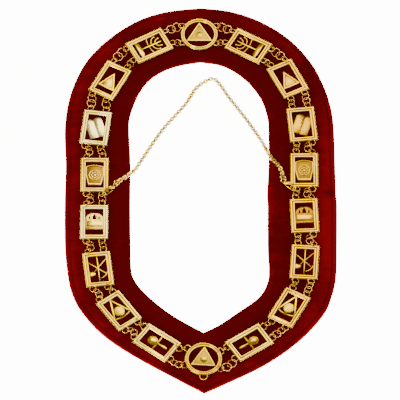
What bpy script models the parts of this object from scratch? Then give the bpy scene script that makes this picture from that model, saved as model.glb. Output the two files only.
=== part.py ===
"""Chain of office: gilt plates and link chains laid on a flat velvet collar.

The collar lies face up. Metres, +Z up out of its face, +Y towards the back of the
neck, +X to the wearer's left. The origin is under the middle of the velvet.
"""
import math

import bmesh
import bpy
from mathutils import Matrix, Vector

# Driving sizes
PLATE_LENGTH = 0.0456
PLATE_WIDTH = 0.0315
RAIL_WIDTH = 0.0058
RAIL_HEIGHT = 0.0026
LINK_GAP = 0.0172
MEDALLION_DIAMETER = 0.0420
RIM_WIDTH = 0.0045
BAND_WIDTH = 0.0726
VELVET_THICKNESS = 0.0025
GAP = 0.0003
WELD = 0.000002
FINE_WELD = 0.0000001
FLAT_ANGLE = 0.002
SMOOTH_ANGLE = math.radians(30.0)
PLATE_KEEP = 0.75
LINK_KEEP = 0.88

# Rings
CHAIN_SPACING = 0.0174
EYE_RADIUS = 0.0036
EYE_WIRE = 0.0006
EYE_REACH = 0.0024
MEDALLION_EYE_REACH = 0.0017
EYE_LIFT = 0.00100
FAR_EYE_LIFT = 0.00160
LINK_RADIUS = 0.0038
LINK_WIRE = 0.0005
LINK_LIFT = 0.00165
SECOND_LINK_LIFT = 0.00070
LINK_OVERLAP = 0.0019
LINK_NEST = 1.4
LAST_GAP_SLACK = 1.07
JEWEL_RING_RADIUS = 0.0043
JEWEL_RING_REACH = 0.0016
RING_SIDES = 10
WIRE_SIDES = 5
RIM_SIDES = 24

# Figures inside the plates
STROKE = 0.0015
FIGURE_HEIGHT = 0.0016
RELIEF = 0.0006
FIGURE_LIFT = 0.0002
LEVEL_STEP = 0.00006
SUN_SHARE = 0.665
SUN_ALONG = -0.03
SUN_RAYS = 8
SUN_WAVE = 0.08
TABLET_WIDTH = 0.0100
TABLET_HEIGHT = 0.0255
TABLET_LEAN = 24.0
TABLET_SPREAD = 0.48
TABLET_SHOULDER = 0.35
TABLET_STEP = 0.3
ROSETTE_RADIUS = 0.0048
ROSETTE_HOLLOW = 0.6
MEDALLION_TRIANGLE_REACH = 1.04
MEDALLION_BORDER = 0.76
MEDALLION_BOSS = 0.22
BORDER_SHARE = 0.98

# Lobster clasps and the safety chain
CLASP_LENGTH = 0.0165
CLASP_WIDTH = 0.0062
CLASP_WIRE = 0.00075
LEVER_WIRE = 0.0007
LEVER_SWELL_SHARE = 0.3
LEVER_THICKNESS = (1.0, 1.15, 0.85)
CLASPED_PLATE = 4
SAFETY_CHAIN_WIDTH = 0.0030
SAFETY_CHAIN_POINTS = 38
FLOOR_CLEARANCE = 0.0001

# Sizes that follow
PITCH = PLATE_LENGTH + LINK_GAP
PLATE_BASE = VELVET_THICKNESS + GAP
WINDOW_HALF_WIDTH = PLATE_WIDTH / 2 - RAIL_WIDTH
WINDOW_HALF_LENGTH = PLATE_LENGTH / 2 - RAIL_WIDTH
MEDALLION_RADIUS = MEDALLION_DIAMETER / 2
RIM_INNER_RADIUS = MEDALLION_RADIUS - RIM_WIDTH
RING_LEVEL = VELVET_THICKNESS + GAP / 2 + LINK_WIRE + LINK_LIFT
LEAST_EYE_DISTANCE = 2 * (EYE_RADIUS + EYE_WIRE + GAP)

# Plates down one side. Place as shares of PITCH from the photo's middle, and the
# turn of the long side in degrees, counted from +X towards the top medallion.
PLATES = {
    "left": (
        # figure, across, along, turn
        ("candelabrum", -0.904, 3.264, 28.0),
        ("triangle", -1.610, 2.524, 61.5),
        ("tablets", -1.865, 1.512, 82.8),
        ("keystone", -1.880, 0.510, 89.5),
        ("chest", -1.885, -0.489, 90.0),
        ("tools", -1.810, -1.486, 96.6),
        ("compasses", -1.441, -2.360, 125.5),
        ("mallet", -0.765, -3.030, 143.8),
    ),
    "right": (
        ("candelabrum", 0.865, 3.260, 150.5),
        ("triangle", 1.571, 2.559, 116.6),
        ("tablets", 1.826, 1.584, 95.9),
        ("keystone", 1.861, 0.610, 90.5),
        ("chest", 1.863, -0.356, 92.7),
        ("tools", 1.862, -1.335, 86.6),
        ("compasses", 1.584, -2.294, 61.7),
        ("mallet", 0.876, -3.028, 33.6),
    ),
}

# Medallions, placed in the same way, with the turn of the triangle and the place
# round the rim of the four eyes, in degrees from +X.
MEDALLIONS = {
    # name: across, along, triangle turn, eyes (left outer, left inner, right outer, right inner)
    "top": (-0.012, 3.509, 0.0, (150.0, 211.0, 30.0, -32.0)),
    "bottom": (0.064, -3.371, -4.0, (200.0, 143.0, -34.0, 28.0)),
}

# Sections of the velvet, from the top of the arch to the tip of the V. The middle
# of the band is a share of PITCH, its half width a share of BAND_WIDTH, and dip is
# how far a crease sinks the outer edge, as a share of VELVET_THICKNESS.
VELVET = {
    "left": (
        # across, along, half across, half along, dip
        (0.000, 3.527, 0.000, 0.503, 0.0),
        (-0.464, 3.456, -0.093, 0.501, 0.0),
        (-0.855, 3.311, -0.197, 0.469, 0.0),
        (-1.226, 3.047, -0.296, 0.401, 0.0),
        (-1.515, 2.699, -0.399, 0.310, 0.0),
        (-1.688, 2.339, -0.452, 0.222, 0.0),
        (-1.808, 1.912, -0.477, 0.145, 0.0),
        (-1.844, 1.468, -0.498, 0.019, 0.0),
        (-1.820, 0.745, -0.501, 0.000, 0.0),
        (-1.829, -0.106, -0.506, 0.000, 0.0),
        (-1.821, -0.957, -0.506, 0.000, 0.0),
        (-1.789, -1.507, -0.494, -0.018, 0.0),
        (-1.707, -1.843, -0.497, -0.091, 0.35),
        (-1.529, -2.163, -0.505, -0.149, 0.0),
        (-1.160, -2.585, -0.487, -0.218, 0.0),
        (-0.684, -2.950, -0.347, -0.332, 0.0),
        (0.068, -3.422, 0.005, -0.551, 0.0),
    ),
    "right": (
        (0.000, 3.527, 0.000, 0.503, 0.0),
        (0.448, 3.460, 0.093, 0.496, 0.0),
        (0.842, 3.286, 0.211, 0.461, 0.0),
        (1.218, 2.992, 0.325, 0.396, 0.0),
        (1.494, 2.632, 0.402, 0.311, 0.0),
        (1.667, 2.268, 0.454, 0.213, 0.0),
        (1.779, 1.840, 0.489, 0.123, 0.0),
        (1.810, 1.467, 0.507, 0.018, 0.0),
        (1.819, 0.744, 0.515, 0.000, 0.0),
        (1.812, 0.129, 0.533, 0.000, 0.45),
        (1.825, -0.105, 0.536, 0.000, 0.0),
        (1.822, -0.957, 0.534, 0.000, 0.0),
        (1.825, -1.510, 0.520, -0.041, 0.0),
        (1.776, -1.861, 0.501, -0.106, 0.0),
        (1.613, -2.237, 0.496, -0.163, 0.0),
        (1.197, -2.678, 0.475, -0.259, 0.0),
        (0.703, -3.071, 0.330, -0.377, 0.0),
        (0.068, -3.422, 0.005, -0.551, 0.0),
    ),
}
VELVET_STEPS = 2
VELVET_PROFILE = (
    # across from the inner edge (shares of the width), height (share of the thickness), follows the dip
    (0.000, 0.00, 0.0),
    (0.012, 1.00, 0.0),
    (0.800, 1.00, 0.0),
    (0.988, 1.00, 1.0),
    (1.000, 0.00, 0.0),
)

# Section of a rail, from its outer foot over the top to its inner foot, as shares
# of the rail's width and height.
RAIL_PROFILE = (
    (0.00, 0.00),
    (0.00, 0.82),
    (0.28, 1.00),
    (0.54, 0.62),
    (0.84, 0.92),
    (1.00, 0.62),
    (1.00, 0.00),
)

# Branches of the candelabrum: where each crosses the stem, how wide it opens and
# how deep it curves, as shares of half the window.
BRANCHES = (
    (-0.05, 1.06, 0.16),
    (0.18, 0.84, 0.36),
    (0.43, 0.50, 0.32),
)

# How each clasp lies in its eye: its hook's offset from the eye's middle as shares of
# EYE_RADIUS, its tail's rise as a share of the clasp's length, and its turns in degrees.
CLASPS = {
    # offset across, offset along, rise, roll, pitch, heading
    "left": (0.32, -0.19, 0.394, -43.0, 5.3, -144.5),
    "right": (-0.32, -0.10, 0.376, 46.0, 3.2, -32.0),
}

# Middle line of a clasp's body from its tail round the hook to the tip, as shares
# of its length and width, with the thickness in clasp wires.
CLASP_LINE = (
    # along, across, thickness
    (0.02, 0.02, 1.30),
    (0.14, -0.12, 1.85),
    (0.32, -0.40, 1.55),
    (0.54, -0.50, 1.30),
    (0.74, -0.46, 1.05),
    (0.88, -0.28, 1.00),
    (0.94, 0.00, 1.00),
    (0.89, 0.27, 1.00),
    (0.79, 0.43, 1.00),
    (0.71, 0.47, 0.95),
)
CLASP_HOOK_REACH = CLASP_LINE[6][0]
LEVER_PIVOT = (0.23, 0.36)
LEVER_TIP = (0.71, 0.47)

# Route of the safety chain over the velvet and across the opening, chosen by hand,
# as shares of PITCH from the photo's middle, and its height in chain widths.
SAFETY_CHAIN_ROUTE = (
    # across, along, height of the middle line
    (-1.5096, 0.2755, 2.067),
    (-1.4650, 0.3599, 1.733),
    (-1.3726, 0.4268, 1.500),
    (-1.2787, 0.5080, 1.433),
    (-1.2182, 0.5573, 1.433),
    (-1.1672, 0.6290, 1.000),
    (-1.1146, 0.7166, 0.567),
    (-1.0191, 0.8885, 0.533),
    (-0.8376, 1.2134, 0.533),
    (-0.6545, 1.5143, 0.533),
    (-0.4283, 1.8121, 0.533),
    (-0.2468, 2.0557, 0.533),
    (-0.0860, 2.3535, 0.533),
    (0.0717, 2.5064, 0.533),
    (0.2309, 2.5764, 0.533),
    (0.3535, 2.4602, 0.533),
    (0.5271, 2.1656, 0.533),
    (0.7102, 1.8933, 0.533),
    (0.8678, 1.6497, 0.533),
    (1.0287, 1.3774, 0.533),
    (1.1146, 1.2229, 0.567),
    (1.1624, 1.1067, 1.000),
    (1.2022, 1.0111, 1.433),
    (1.2532, 0.9013, 1.467),
    (1.3344, 0.7882, 1.500),
    (1.4220, 0.6768, 1.500),
    (1.4682, 0.5446, 1.600),
    (1.4904, 0.3774, 2.000),
)

GOLD = (0.80, 0.56, 0.20, 1.0)
ROSE_GOLD = (0.80, 0.50, 0.30, 1.0)
PALE_GOLD = (0.76, 0.63, 0.32, 1.0)
VELVET_RED = (0.13, 0.003, 0.006, 1.0)


def clear_scene():
    """Removes what an empty Blender file starts with."""
    for item in list(bpy.data.objects):
        bpy.data.objects.remove(item, do_unlink=True)


def new_collection(name):
    """Adds a collection to the scene."""
    collection = bpy.data.collections.new(name)
    bpy.context.scene.collection.children.link(collection)
    return collection


def new_material(name, colour, roughness, metallic):
    """A plain Principled material."""
    material = bpy.data.materials.new(name)
    material.use_nodes = True
    shader = material.node_tree.nodes["Principled BSDF"]
    shader.inputs["Base Color"].default_value = colour
    shader.inputs["Roughness"].default_value = roughness
    shader.inputs["Metallic"].default_value = metallic
    return material


def new_object(name, mesh, collection):
    """Links a mesh to a collection as an object of its own."""
    item = bpy.data.objects.new(name, mesh)
    collection.objects.link(item)
    return item


def finished_mesh(item, weld=WELD):
    """The mesh of an object with its modifiers, welded and facing out, in place of the object."""
    bpy.context.view_layer.update()
    depsgraph = bpy.context.evaluated_depsgraph_get()
    mesh = bpy.data.meshes.new_from_object(item.evaluated_get(depsgraph))
    mesh.transform(item.matrix_world)
    bpy.data.objects.remove(item, do_unlink=True)
    bm = bmesh.new()
    bm.from_mesh(mesh)
    bmesh.ops.remove_doubles(bm, verts=bm.verts, dist=weld)
    bmesh.ops.recalc_face_normals(bm, faces=bm.faces)
    bm.to_mesh(mesh)
    bm.free()
    return mesh


def flat_shape(outlines, bottom, top):
    """A flat plate between two heights from one outline and the outlines of its holes."""
    curve = bpy.data.curves.new("flat_shape", "CURVE")
    curve.dimensions = "2D"
    curve.fill_mode = "BOTH"
    curve.extrude = (top - bottom) / 2
    for outline in outlines:
        spline = curve.splines.new("POLY")
        spline.points.add(len(outline) - 1)
        for point, (across, along) in zip(spline.points, outline):
            point.co = (across, along, 0.0, 1.0)
        spline.use_cyclic_u = True
    item = new_object("flat_shape", curve, CUTTERS)
    item.location.z = (top + bottom) / 2
    return finished_mesh(item)


def fuse(meshes, keep):
    """One body from several closed meshes that overlap, with a share of its triangles kept.

    The manifold solver is used because the exact one leaves faults where an eye crosses a rim.
    """
    base = new_object("base", meshes[0], CUTTERS)
    others = []
    for index, mesh in enumerate(meshes[1:]):
        other = new_object(f"joined_{index}", mesh, CUTTERS)
        other.hide_render = True
        other.display_type = "WIRE"
        union = base.modifiers.new(f"union_{index}", "BOOLEAN")
        union.operation = "UNION"
        union.solver = "MANIFOLD"
        union.object = other
        others.append(other)
    mesh = finished_mesh(base, FINE_WELD)
    merge_flat_faces(mesh)
    mesh = lightened(mesh, keep)
    for other in others:
        bpy.data.objects.remove(other, do_unlink=True)
    return mesh


def merge_flat_faces(mesh):
    """Makes one face of neighbours that lie in one plane, which a union leaves split."""
    bm = bmesh.new()
    bm.from_mesh(mesh)
    bmesh.ops.dissolve_limit(bm, angle_limit=FLAT_ANGLE, verts=bm.verts, edges=bm.edges)
    bm.to_mesh(mesh)
    bm.free()


def lightened(mesh, keep):
    """Drops the smallest triangles where a union left slivers."""
    item = new_object("lightened", mesh, CUTTERS)
    decimate = item.modifiers.new("decimate", "DECIMATE")
    decimate.ratio = keep
    return finished_mesh(item, FINE_WELD)


def loft(sections):
    """A closed body through a ring of closed sections, each a list of as many points."""
    bm = bmesh.new()
    rings = [[bm.verts.new(point) for point in section] for section in sections]
    count = len(rings[0])
    for ring, following in zip(rings, rings[1:] + rings[:1]):
        for index in range(count):
            after = (index + 1) % count
            bm.faces.new((ring[index], ring[after], following[after], following[index]))
    bmesh.ops.recalc_face_normals(bm, faces=bm.faces)
    mesh = bpy.data.meshes.new("loft")
    bm.to_mesh(mesh)
    bm.free()
    return mesh


def ring_mesh(radius, wire, placement):
    """A round wire ring of few sides, put in place by a matrix."""
    bpy.ops.mesh.primitive_torus_add(
        major_radius=radius, minor_radius=wire, major_segments=RING_SIDES, minor_segments=WIRE_SIDES
    )
    item = bpy.context.object
    mesh = item.data
    bpy.data.objects.remove(item, do_unlink=True)
    mesh.transform(placement)
    return mesh


def ring_placement(centre, heading, radius, lift):
    """Matrix of a flat ring at a point, one edge lifted as it leans round the line it is strung on."""
    lean = Matrix.Rotation(math.asin(lift / radius), 4, "X")
    turn = Matrix.Rotation(heading, 4, "Z")
    return Matrix.Translation(centre) @ turn @ lean


def frame_mesh():
    """The moulded rectangular frame of a plate, its rails mitred at the corners."""
    sections = []
    for side_across, side_along in ((1, 1), (-1, 1), (-1, -1), (1, -1)):
        section = []
        for inset, height in RAIL_PROFILE:
            across = side_across * (PLATE_WIDTH / 2 - inset * RAIL_WIDTH)
            along = side_along * (PLATE_LENGTH / 2 - inset * RAIL_WIDTH)
            section.append(Vector((across, along, height * RAIL_HEIGHT)))
        sections.append(section)
    return loft(sections)


def rim_mesh():
    """The moulded round rim of a medallion, its section turned round the middle."""
    bm = bmesh.new()
    verts = []
    for inset, height in reversed(RAIL_PROFILE):
        verts.append(bm.verts.new((MEDALLION_RADIUS - inset * RIM_WIDTH, 0.0, height * RAIL_HEIGHT)))
    for vert, following in zip(verts, verts[1:] + verts[:1]):
        bm.edges.new((vert, following))
    mesh = bpy.data.meshes.new("rim_section")
    bm.to_mesh(mesh)
    bm.free()
    item = new_object("rim_section", mesh, CUTTERS)
    screw = item.modifiers.new("turn", "SCREW")
    screw.steps = RIM_SIDES
    screw.render_steps = RIM_SIDES
    screw.use_merge_vertices = True
    screw.merge_threshold = 0.00001
    return finished_mesh(item)


def window_point(across, along):
    """A point of a plate's window from shares of its half width and half length."""
    return (across * WINDOW_HALF_WIDTH, along * WINDOW_HALF_LENGTH)


def window_shape(outlines, height, level=0):
    """A flat shape in the window, outlined in shares; level keeps the feet of crossing shapes apart."""
    placed = [[window_point(*point) for point in outline] for outline in outlines]
    return flat_shape(placed, FIGURE_LIFT + level * LEVEL_STEP, height)


def stroke(points, width, height, level=0):
    """A bar of even width along a line of points in shares of the window."""
    line = [Vector(window_point(*point)) for point in points]
    left = []
    right = []
    for index, point in enumerate(line):
        before = line[max(index - 1, 0)]
        after = line[min(index + 1, len(line) - 1)]
        heading = (after - before).normalized()
        side = Vector((-heading.y, heading.x)) * width / 2
        left.append(point + side)
        right.append(point - side)
    outline = [tuple(point) for point in left + right[::-1]]
    return flat_shape([outline], FIGURE_LIFT + level * LEVEL_STEP, height)


def round_outline(centre, radius, sides, start=0.0, wave=0.0):
    """Points round a circle, every second one drawn in by the wave's share."""
    points = []
    for index in range(sides):
        angle = start + 2 * math.pi * index / sides
        reach = radius * (1 - wave * (index % 2))
        points.append((centre[0] + reach * math.cos(angle), centre[1] + reach * math.sin(angle)))
    return points


def arc_points(crossing, half_width, depth, steps):
    """Half an ellipse that opens towards the top of the window, in shares."""
    points = []
    for index in range(steps + 1):
        angle = math.pi * index / steps
        points.append((-half_width * math.cos(angle), crossing + depth * (1 - math.sin(angle))))
    return points


def shrunk(outline, share):
    """An outline drawn in towards its own middle."""
    middle_across = sum(point[0] for point in outline) / len(outline)
    middle_along = sum(point[1] for point in outline) / len(outline)
    points = []
    for across, along in outline:
        inner_across = middle_across + (across - middle_across) * share
        inner_along = middle_along + (along - middle_along) * share
        points.append((inner_across, inner_along))
    return points


def candelabrum():
    """A stem on a broad foot with three pairs of curved branches."""
    foot = ((-1.06, -0.86), (1.06, -0.86), (1.06, -0.66), (0.72, -0.56), (-0.72, -0.56), (-1.06, -0.66))
    pieces = [window_shape([foot], FIGURE_HEIGHT)]
    pieces.append(stroke(((0.0, -0.62), (0.0, 0.82)), STROKE * 1.3, FIGURE_HEIGHT, 1))
    for index, (crossing, half_width, depth) in enumerate(BRANCHES):
        line = arc_points(crossing, half_width, depth, 5)
        pieces.append(stroke(line, STROKE, FIGURE_HEIGHT - RELIEF / 2, 2 + index))
    return pieces


def triangle():
    """A solid triangle with a raised border, apex up, across the window."""
    outline = ((-1.06, -0.64), (1.06, -0.64), (0.0, 0.68))
    field = shrunk(outline, 0.72)
    slab = window_shape([outline], FIGURE_HEIGHT - RELIEF)
    border = window_shape([shrunk(outline, BORDER_SHARE), field], FIGURE_HEIGHT, 1)
    return [slab, border]


def tablet_outline(middle):
    """One round-topped tablet of the pair, upright, in metres."""
    left = middle - TABLET_WIDTH / 2
    right = middle + TABLET_WIDTH / 2
    shoulder = TABLET_HEIGHT / 2 - TABLET_WIDTH * TABLET_SHOULDER
    outline = [(left, -TABLET_HEIGHT / 2), (right, -TABLET_HEIGHT / 2), (right, shoulder)]
    for index in range(1, 4):
        angle = math.pi * index / 4
        across = middle + TABLET_WIDTH / 2 * math.cos(angle)
        outline.append((across, shoulder + TABLET_WIDTH * TABLET_SHOULDER * math.sin(angle)))
    outline.append((left, shoulder))
    return outline


def tablets(hand):
    """Twin round-topped tablets that lean across the window."""
    lean = math.radians(TABLET_LEAN) * hand
    pieces = []
    for level, side in enumerate((-1, 1)):
        outline = []
        for across, along in tablet_outline(side * TABLET_WIDTH * TABLET_SPREAD):
            turned_across = across * math.cos(lean) - along * math.sin(lean)
            turned_along = across * math.sin(lean) + along * math.cos(lean)
            outline.append((turned_across, turned_along))
        top = FIGURE_HEIGHT - TABLET_STEP * RELIEF * level
        pieces.append(flat_shape([outline], FIGURE_LIFT + level * LEVEL_STEP, top))
    return pieces


def keystone():
    """A keystone with a raised border and a plain rosette."""
    outline = [(-0.74, -0.81), (0.74, -0.81), (1.05, -0.02), (1.05, 0.66)]
    for along, across in ((0.76, 0.55), (0.81, 0.0), (0.76, -0.55)):
        outline.append((across, along))
    outline += [(-1.05, 0.66), (-1.05, -0.02)]
    slab = window_shape([outline], FIGURE_HEIGHT - RELIEF)
    border = window_shape([shrunk(outline, 0.97), shrunk(outline, 0.84)], FIGURE_HEIGHT, 1)
    rosette = round_outline((0.0, 0.0), ROSETTE_RADIUS, 10)
    hollow = round_outline((0.0, 0.0), ROSETTE_RADIUS * ROSETTE_HOLLOW, 6)
    disc = flat_shape([rosette, hollow], FIGURE_LIFT + 2 * LEVEL_STEP, FIGURE_HEIGHT - RELIEF / 3)
    return [slab, border, disc]


def chest():
    """A chest under two wings that meet over a small opening, on a cross rail."""
    wings = [(-1.05, -0.54), (1.05, -0.54), (1.05, 0.36), (0.86, 0.58), (0.50, 0.69), (0.10, 0.62)]
    wings += [(-0.10, 0.62), (-0.50, 0.69), (-0.86, 0.58), (-1.05, 0.36)]
    opening = ((-0.25, 0.22), (0.25, 0.22), (0.18, 0.48), (-0.18, 0.48))
    slab = window_shape([wings, opening], FIGURE_HEIGHT - RELIEF)
    front = ((-0.88, -0.32), (0.88, -0.32), (0.88, 0.12), (-0.88, 0.12))
    raised = window_shape([front], FIGURE_HEIGHT, 1)
    return [slab, raised]


def tools():
    """A plumb bar with a crossed shovel and pick."""
    pieces = [stroke(((0.0, -1.06), (0.0, 1.06)), STROKE, FIGURE_HEIGHT, 0)]
    pick = ((-1.06, 0.60), (0.86, -0.38), (0.14, -0.72))
    pieces.append(stroke(pick, STROKE, FIGURE_HEIGHT - RELIEF / 3, 1))
    pieces.append(stroke(((1.06, 0.82), (-0.62, -0.26)), STROKE, FIGURE_HEIGHT - RELIEF / 2, 2))
    head = ((-1.06, -0.10), (-0.72, -0.14), (-0.46, -0.26), (-0.48, -0.38), (-0.80, -0.52), (-1.06, -0.60))
    pieces.append(window_shape([head], FIGURE_HEIGHT - RELIEF, 3))
    return pieces


def compasses():
    """Open compasses over a scalloped sun disc, with an arc between their feet."""
    pieces = []
    for level, side in enumerate((-1, 1)):
        legs = ((side * -0.04, 1.06), (side * 1.06, -0.42))
        pieces.append(stroke(legs, STROKE * 1.5, FIGURE_HEIGHT - RELIEF / 3 * level, level))
    centre = (0.0, SUN_ALONG * WINDOW_HALF_LENGTH)
    ray = math.pi / SUN_RAYS
    sun = round_outline(centre, SUN_SHARE * WINDOW_HALF_WIDTH, SUN_RAYS * 2, ray, SUN_WAVE)
    pieces.append(flat_shape([sun], FIGURE_LIFT + 2 * LEVEL_STEP, FIGURE_HEIGHT - RELIEF / 2))
    arc = [(-1.08, -0.40), (-0.6, -0.49), (0.0, -0.53), (0.6, -0.49), (1.08, -0.40)]
    pieces.append(stroke(arc, STROKE * 1.3, FIGURE_HEIGHT - RELIEF, 3))
    return pieces


def mallet():
    """A bell-headed mallet across a rail."""
    head = ((-0.16, -0.12), (0.16, -0.12), (0.50, 0.14), (0.56, 0.40), (0.42, 0.60), (0.16, 0.68))
    head += tuple((-across, along) for across, along in reversed(head[2:]))
    pieces = [window_shape([head], FIGURE_HEIGHT)]
    pieces.append(stroke(((-1.06, -0.02), (1.06, -0.02)), STROKE * 1.4, FIGURE_HEIGHT - RELIEF, 1))
    pieces.append(stroke(((0.0, -0.05), (0.0, -0.80)), STROKE * 1.4, FIGURE_HEIGHT - RELIEF / 2, 2))
    return pieces


FIGURES = {
    "candelabrum": candelabrum,
    "triangle": triangle,
    "keystone": keystone,
    "chest": chest,
    "tools": tools,
    "compasses": compasses,
    "mallet": mallet,
}


def medallion_triangle(turn):
    """The triangle that fills a medallion, with a raised border and a plain raised disc."""
    reach = RIM_INNER_RADIUS * MEDALLION_TRIANGLE_REACH
    outline = round_outline((0.0, 0.0), reach, 3, math.radians(90.0 + turn))
    slab = flat_shape([outline], FIGURE_LIFT, FIGURE_HEIGHT - RELIEF)
    edges = [shrunk(outline, BORDER_SHARE), shrunk(outline, MEDALLION_BORDER)]
    border = flat_shape(edges, FIGURE_LIFT + LEVEL_STEP, FIGURE_HEIGHT)
    boss = round_outline((0.0, 0.0), reach * MEDALLION_BOSS, 10)
    disc = flat_shape([boss], FIGURE_LIFT + 2 * LEVEL_STEP, FIGURE_HEIGHT - RELIEF / 3)
    return [slab, border, disc]


def place(across, along):
    """A point of the photo's plan from shares of the pitch."""
    return Vector((across * PITCH, along * PITCH, 0.0))


def velvet_edges():
    """Inner edge, outer edge and dip of the velvet all the way round, smooth between the sections."""
    edges = []
    for side in ("left", "right"):
        knots = []
        for across, along, half_across, half_along, dip in VELVET[side]:
            middle = place(across, along)
            half = Vector((half_across, half_along, 0.0)) * BAND_WIDTH
            knots.append((middle - half, middle + half, dip))
        path = smooth_edges(knots)
        edges += path[:-1] if side == "left" else path[:0:-1]
    return edges


def smooth_edges(knots):
    """Points between the knots on a smooth curve that passes through each."""
    path = []
    for index in range(len(knots) - 1):
        for step in range(VELVET_STEPS):
            share = step / VELVET_STEPS
            before = knots[max(index - 1, 0)]
            first = knots[index]
            second = knots[index + 1]
            after = knots[min(index + 2, len(knots) - 1)]
            inner = curve_point(before[0], first[0], second[0], after[0], share)
            outer = curve_point(before[1], first[1], second[1], after[1], share)
            dip = first[2] * (1 - share) + second[2] * share
            path.append((inner, outer, dip))
    path.append(knots[-1])
    return path


def curve_point(before, first, second, after, share):
    """A point of the smooth curve through four points, between the second and the third."""
    square = share * share
    cube = square * share
    return 0.5 * (
        2 * first
        + (second - before) * share
        + (2 * before - 5 * first + 4 * second - after) * square
        + (3 * first - before - 3 * second + after) * cube
    )


def plan_middle():
    """Middle of the velvet's outline, which the origin lies under."""
    points = [edge[1] for edge in velvet_edges()]
    across = [point.x for point in points]
    along = [point.y for point in points]
    return Vector(((min(across) + max(across)) / 2, (min(along) + max(along)) / 2, 0.0))


def velvet_mesh():
    """The flat velvet band, lofted round the neck opening."""
    sections = []
    for inner, outer, dip in velvet_edges():
        section = []
        for share, height, follows in VELVET_PROFILE:
            point = inner.lerp(outer, share)
            point.z = VELVET_THICKNESS * height * (1 - dip * follows)
            section.append(point)
        sections.append(section)
    return loft(sections)


def plate_turn(turn):
    """Turn of a plate about Z, in radians, from the heading of its long side."""
    return math.radians(turn - 90.0)


def plate_eye(row, side, inner, towards_top):
    """Centre of one of a plate's eyes."""
    across, along, turn = row[1:]
    hand = 1 if side == "left" else -1
    offset_across = (hand if inner else -hand) * CHAIN_SPACING / 2
    offset_along = (1 if towards_top else -1) * (PLATE_LENGTH / 2 + EYE_REACH)
    offset = Matrix.Rotation(plate_turn(turn), 3, "Z") @ Vector((offset_across, offset_along, 0.0))
    centre = place(across, along) + offset
    centre.z = RING_LEVEL
    return centre


def medallion_eye(name, side, inner):
    """Centre of one of a medallion's eyes."""
    across, along, _, eyes = MEDALLIONS[name]
    angle = math.radians(eyes[("left", "right").index(side) * 2 + int(inner)])
    reach = MEDALLION_RADIUS + MEDALLION_EYE_REACH
    centre = place(across, along) + reach * Vector((math.cos(angle), math.sin(angle), 0.0))
    centre.z = RING_LEVEL
    return centre


def chain_ends(side):
    """The two eyes at the ends of each gap down a side, outer chain first."""
    rows = PLATES[side]
    gaps = []
    for index in range(len(rows) + 1):
        for inner in (False, True):
            if index == 0:
                start = medallion_eye("top", side, inner)
            else:
                start = plate_eye(rows[index - 1], side, inner, False)
            if index == len(rows):
                end = medallion_eye("bottom", side, inner)
            else:
                end = plate_eye(rows[index], side, inner, True)
            run = end - start
            shift = max(LEAST_EYE_DISTANCE - run.length, 0.0) / 2 * run.normalized()
            gaps.append((index + 1, inner, start - shift, end + shift))
    return gaps


def link_radius(side, number, inner, run):
    """Radius of the loose rings, larger where the eyes stand further apart."""
    spare = 2 * (EYE_RADIUS - LINK_OVERLAP)
    if inner:
        return (run.length - spare) / 2
    slack = LAST_GAP_SLACK if number > len(PLATES[side]) else 1.0
    return max(LINK_RADIUS, (run.length - spare) / (2 + LINK_NEST) * slack)


def link_centres(side, number, inner, start, end):
    """Centres of the loose rings strung between two eyes.

    A slack outer chain bows towards the inner one, and away from the rim at the bottom medallion.
    """
    run = end - start
    along = run.normalized()
    aside = Vector((-along.y, along.x, 0.0)) * (1 if side == "left" else -1)
    if number > len(PLATES[side]):
        aside = -aside
    radius = link_radius(side, number, inner, run)
    reach = radius + EYE_RADIUS - LINK_OVERLAP
    nest = 0.0 if inner else LINK_NEST * radius
    inset = (run.length - nest) / 2
    bow = math.sqrt(max(reach**2 - inset**2, 0.0))
    if inner:
        return [start + run / 2 + aside * bow]
    return [start + along * inset + aside * bow, end - along * inset + aside * bow]


def heading_of(run):
    """Heading of a line in plan."""
    return math.atan2(run.y, run.x)


def chain_rings(side, number, inner, start, end):
    """Radius, wire and place of each ring of a gap's chain, from eye to eye."""
    hand = 1 if side == "left" else -1
    stations = [start] + link_centres(side, number, inner, start, end) + [end]
    radius = link_radius(side, number, inner, end - start)
    rings = []
    for station, centre in enumerate(stations):
        if inner:
            heading = heading_of(end - start)
        elif station < 2:
            heading = heading_of(stations[1] - start)
        else:
            heading = heading_of(end - stations[2])
        if station == 0:
            size, wire, lift = EYE_RADIUS, EYE_WIRE, EYE_LIFT
        elif station == len(stations) - 1:
            size, wire, lift = EYE_RADIUS, EYE_WIRE, EYE_LIFT if inner else FAR_EYE_LIFT
        elif station == 1:
            size, wire, lift = radius, LINK_WIRE, -LINK_LIFT
        else:
            size, wire, lift = radius, LINK_WIRE, -SECOND_LINK_LIFT
        rings.append((size, wire, ring_placement(centre, heading, size, lift * hand)))
    return rings


def eye_meshes(side, number, at_start):
    """The soldered eyes at one end of a gap, leaning against the rings that hang in them."""
    meshes = []
    for index, inner, start, end in chain_ends(side):
        if index == number:
            rings = chain_rings(side, index, inner, start, end)
            meshes.append(ring_mesh(*rings[0 if at_start else -1]))
    return meshes


def build_plate(side, number, row):
    """One rectangular plate with its figure and its four eyes."""
    figure, across, along, turn = row
    hand = 1 if side == "left" else -1
    shapes = tablets(hand) if figure == "tablets" else FIGURES[figure]()
    pieces = [frame_mesh()] + shapes
    placement = Matrix.Translation(place(across, along)) @ Matrix.Rotation(plate_turn(turn), 4, "Z")
    placement = Matrix.Translation((0.0, 0.0, PLATE_BASE)) @ placement
    for piece in pieces:
        piece.transform(placement)
    pieces += eye_meshes(side, number, False)
    pieces += eye_meshes(side, number + 1, True)
    item = new_object(f"plate_{side}_{number}", fuse(pieces, PLATE_KEEP), PART)
    finish(item, new_material(f"gilt_{side}_{number}", GOLD, 0.28, 1.0))


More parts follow.
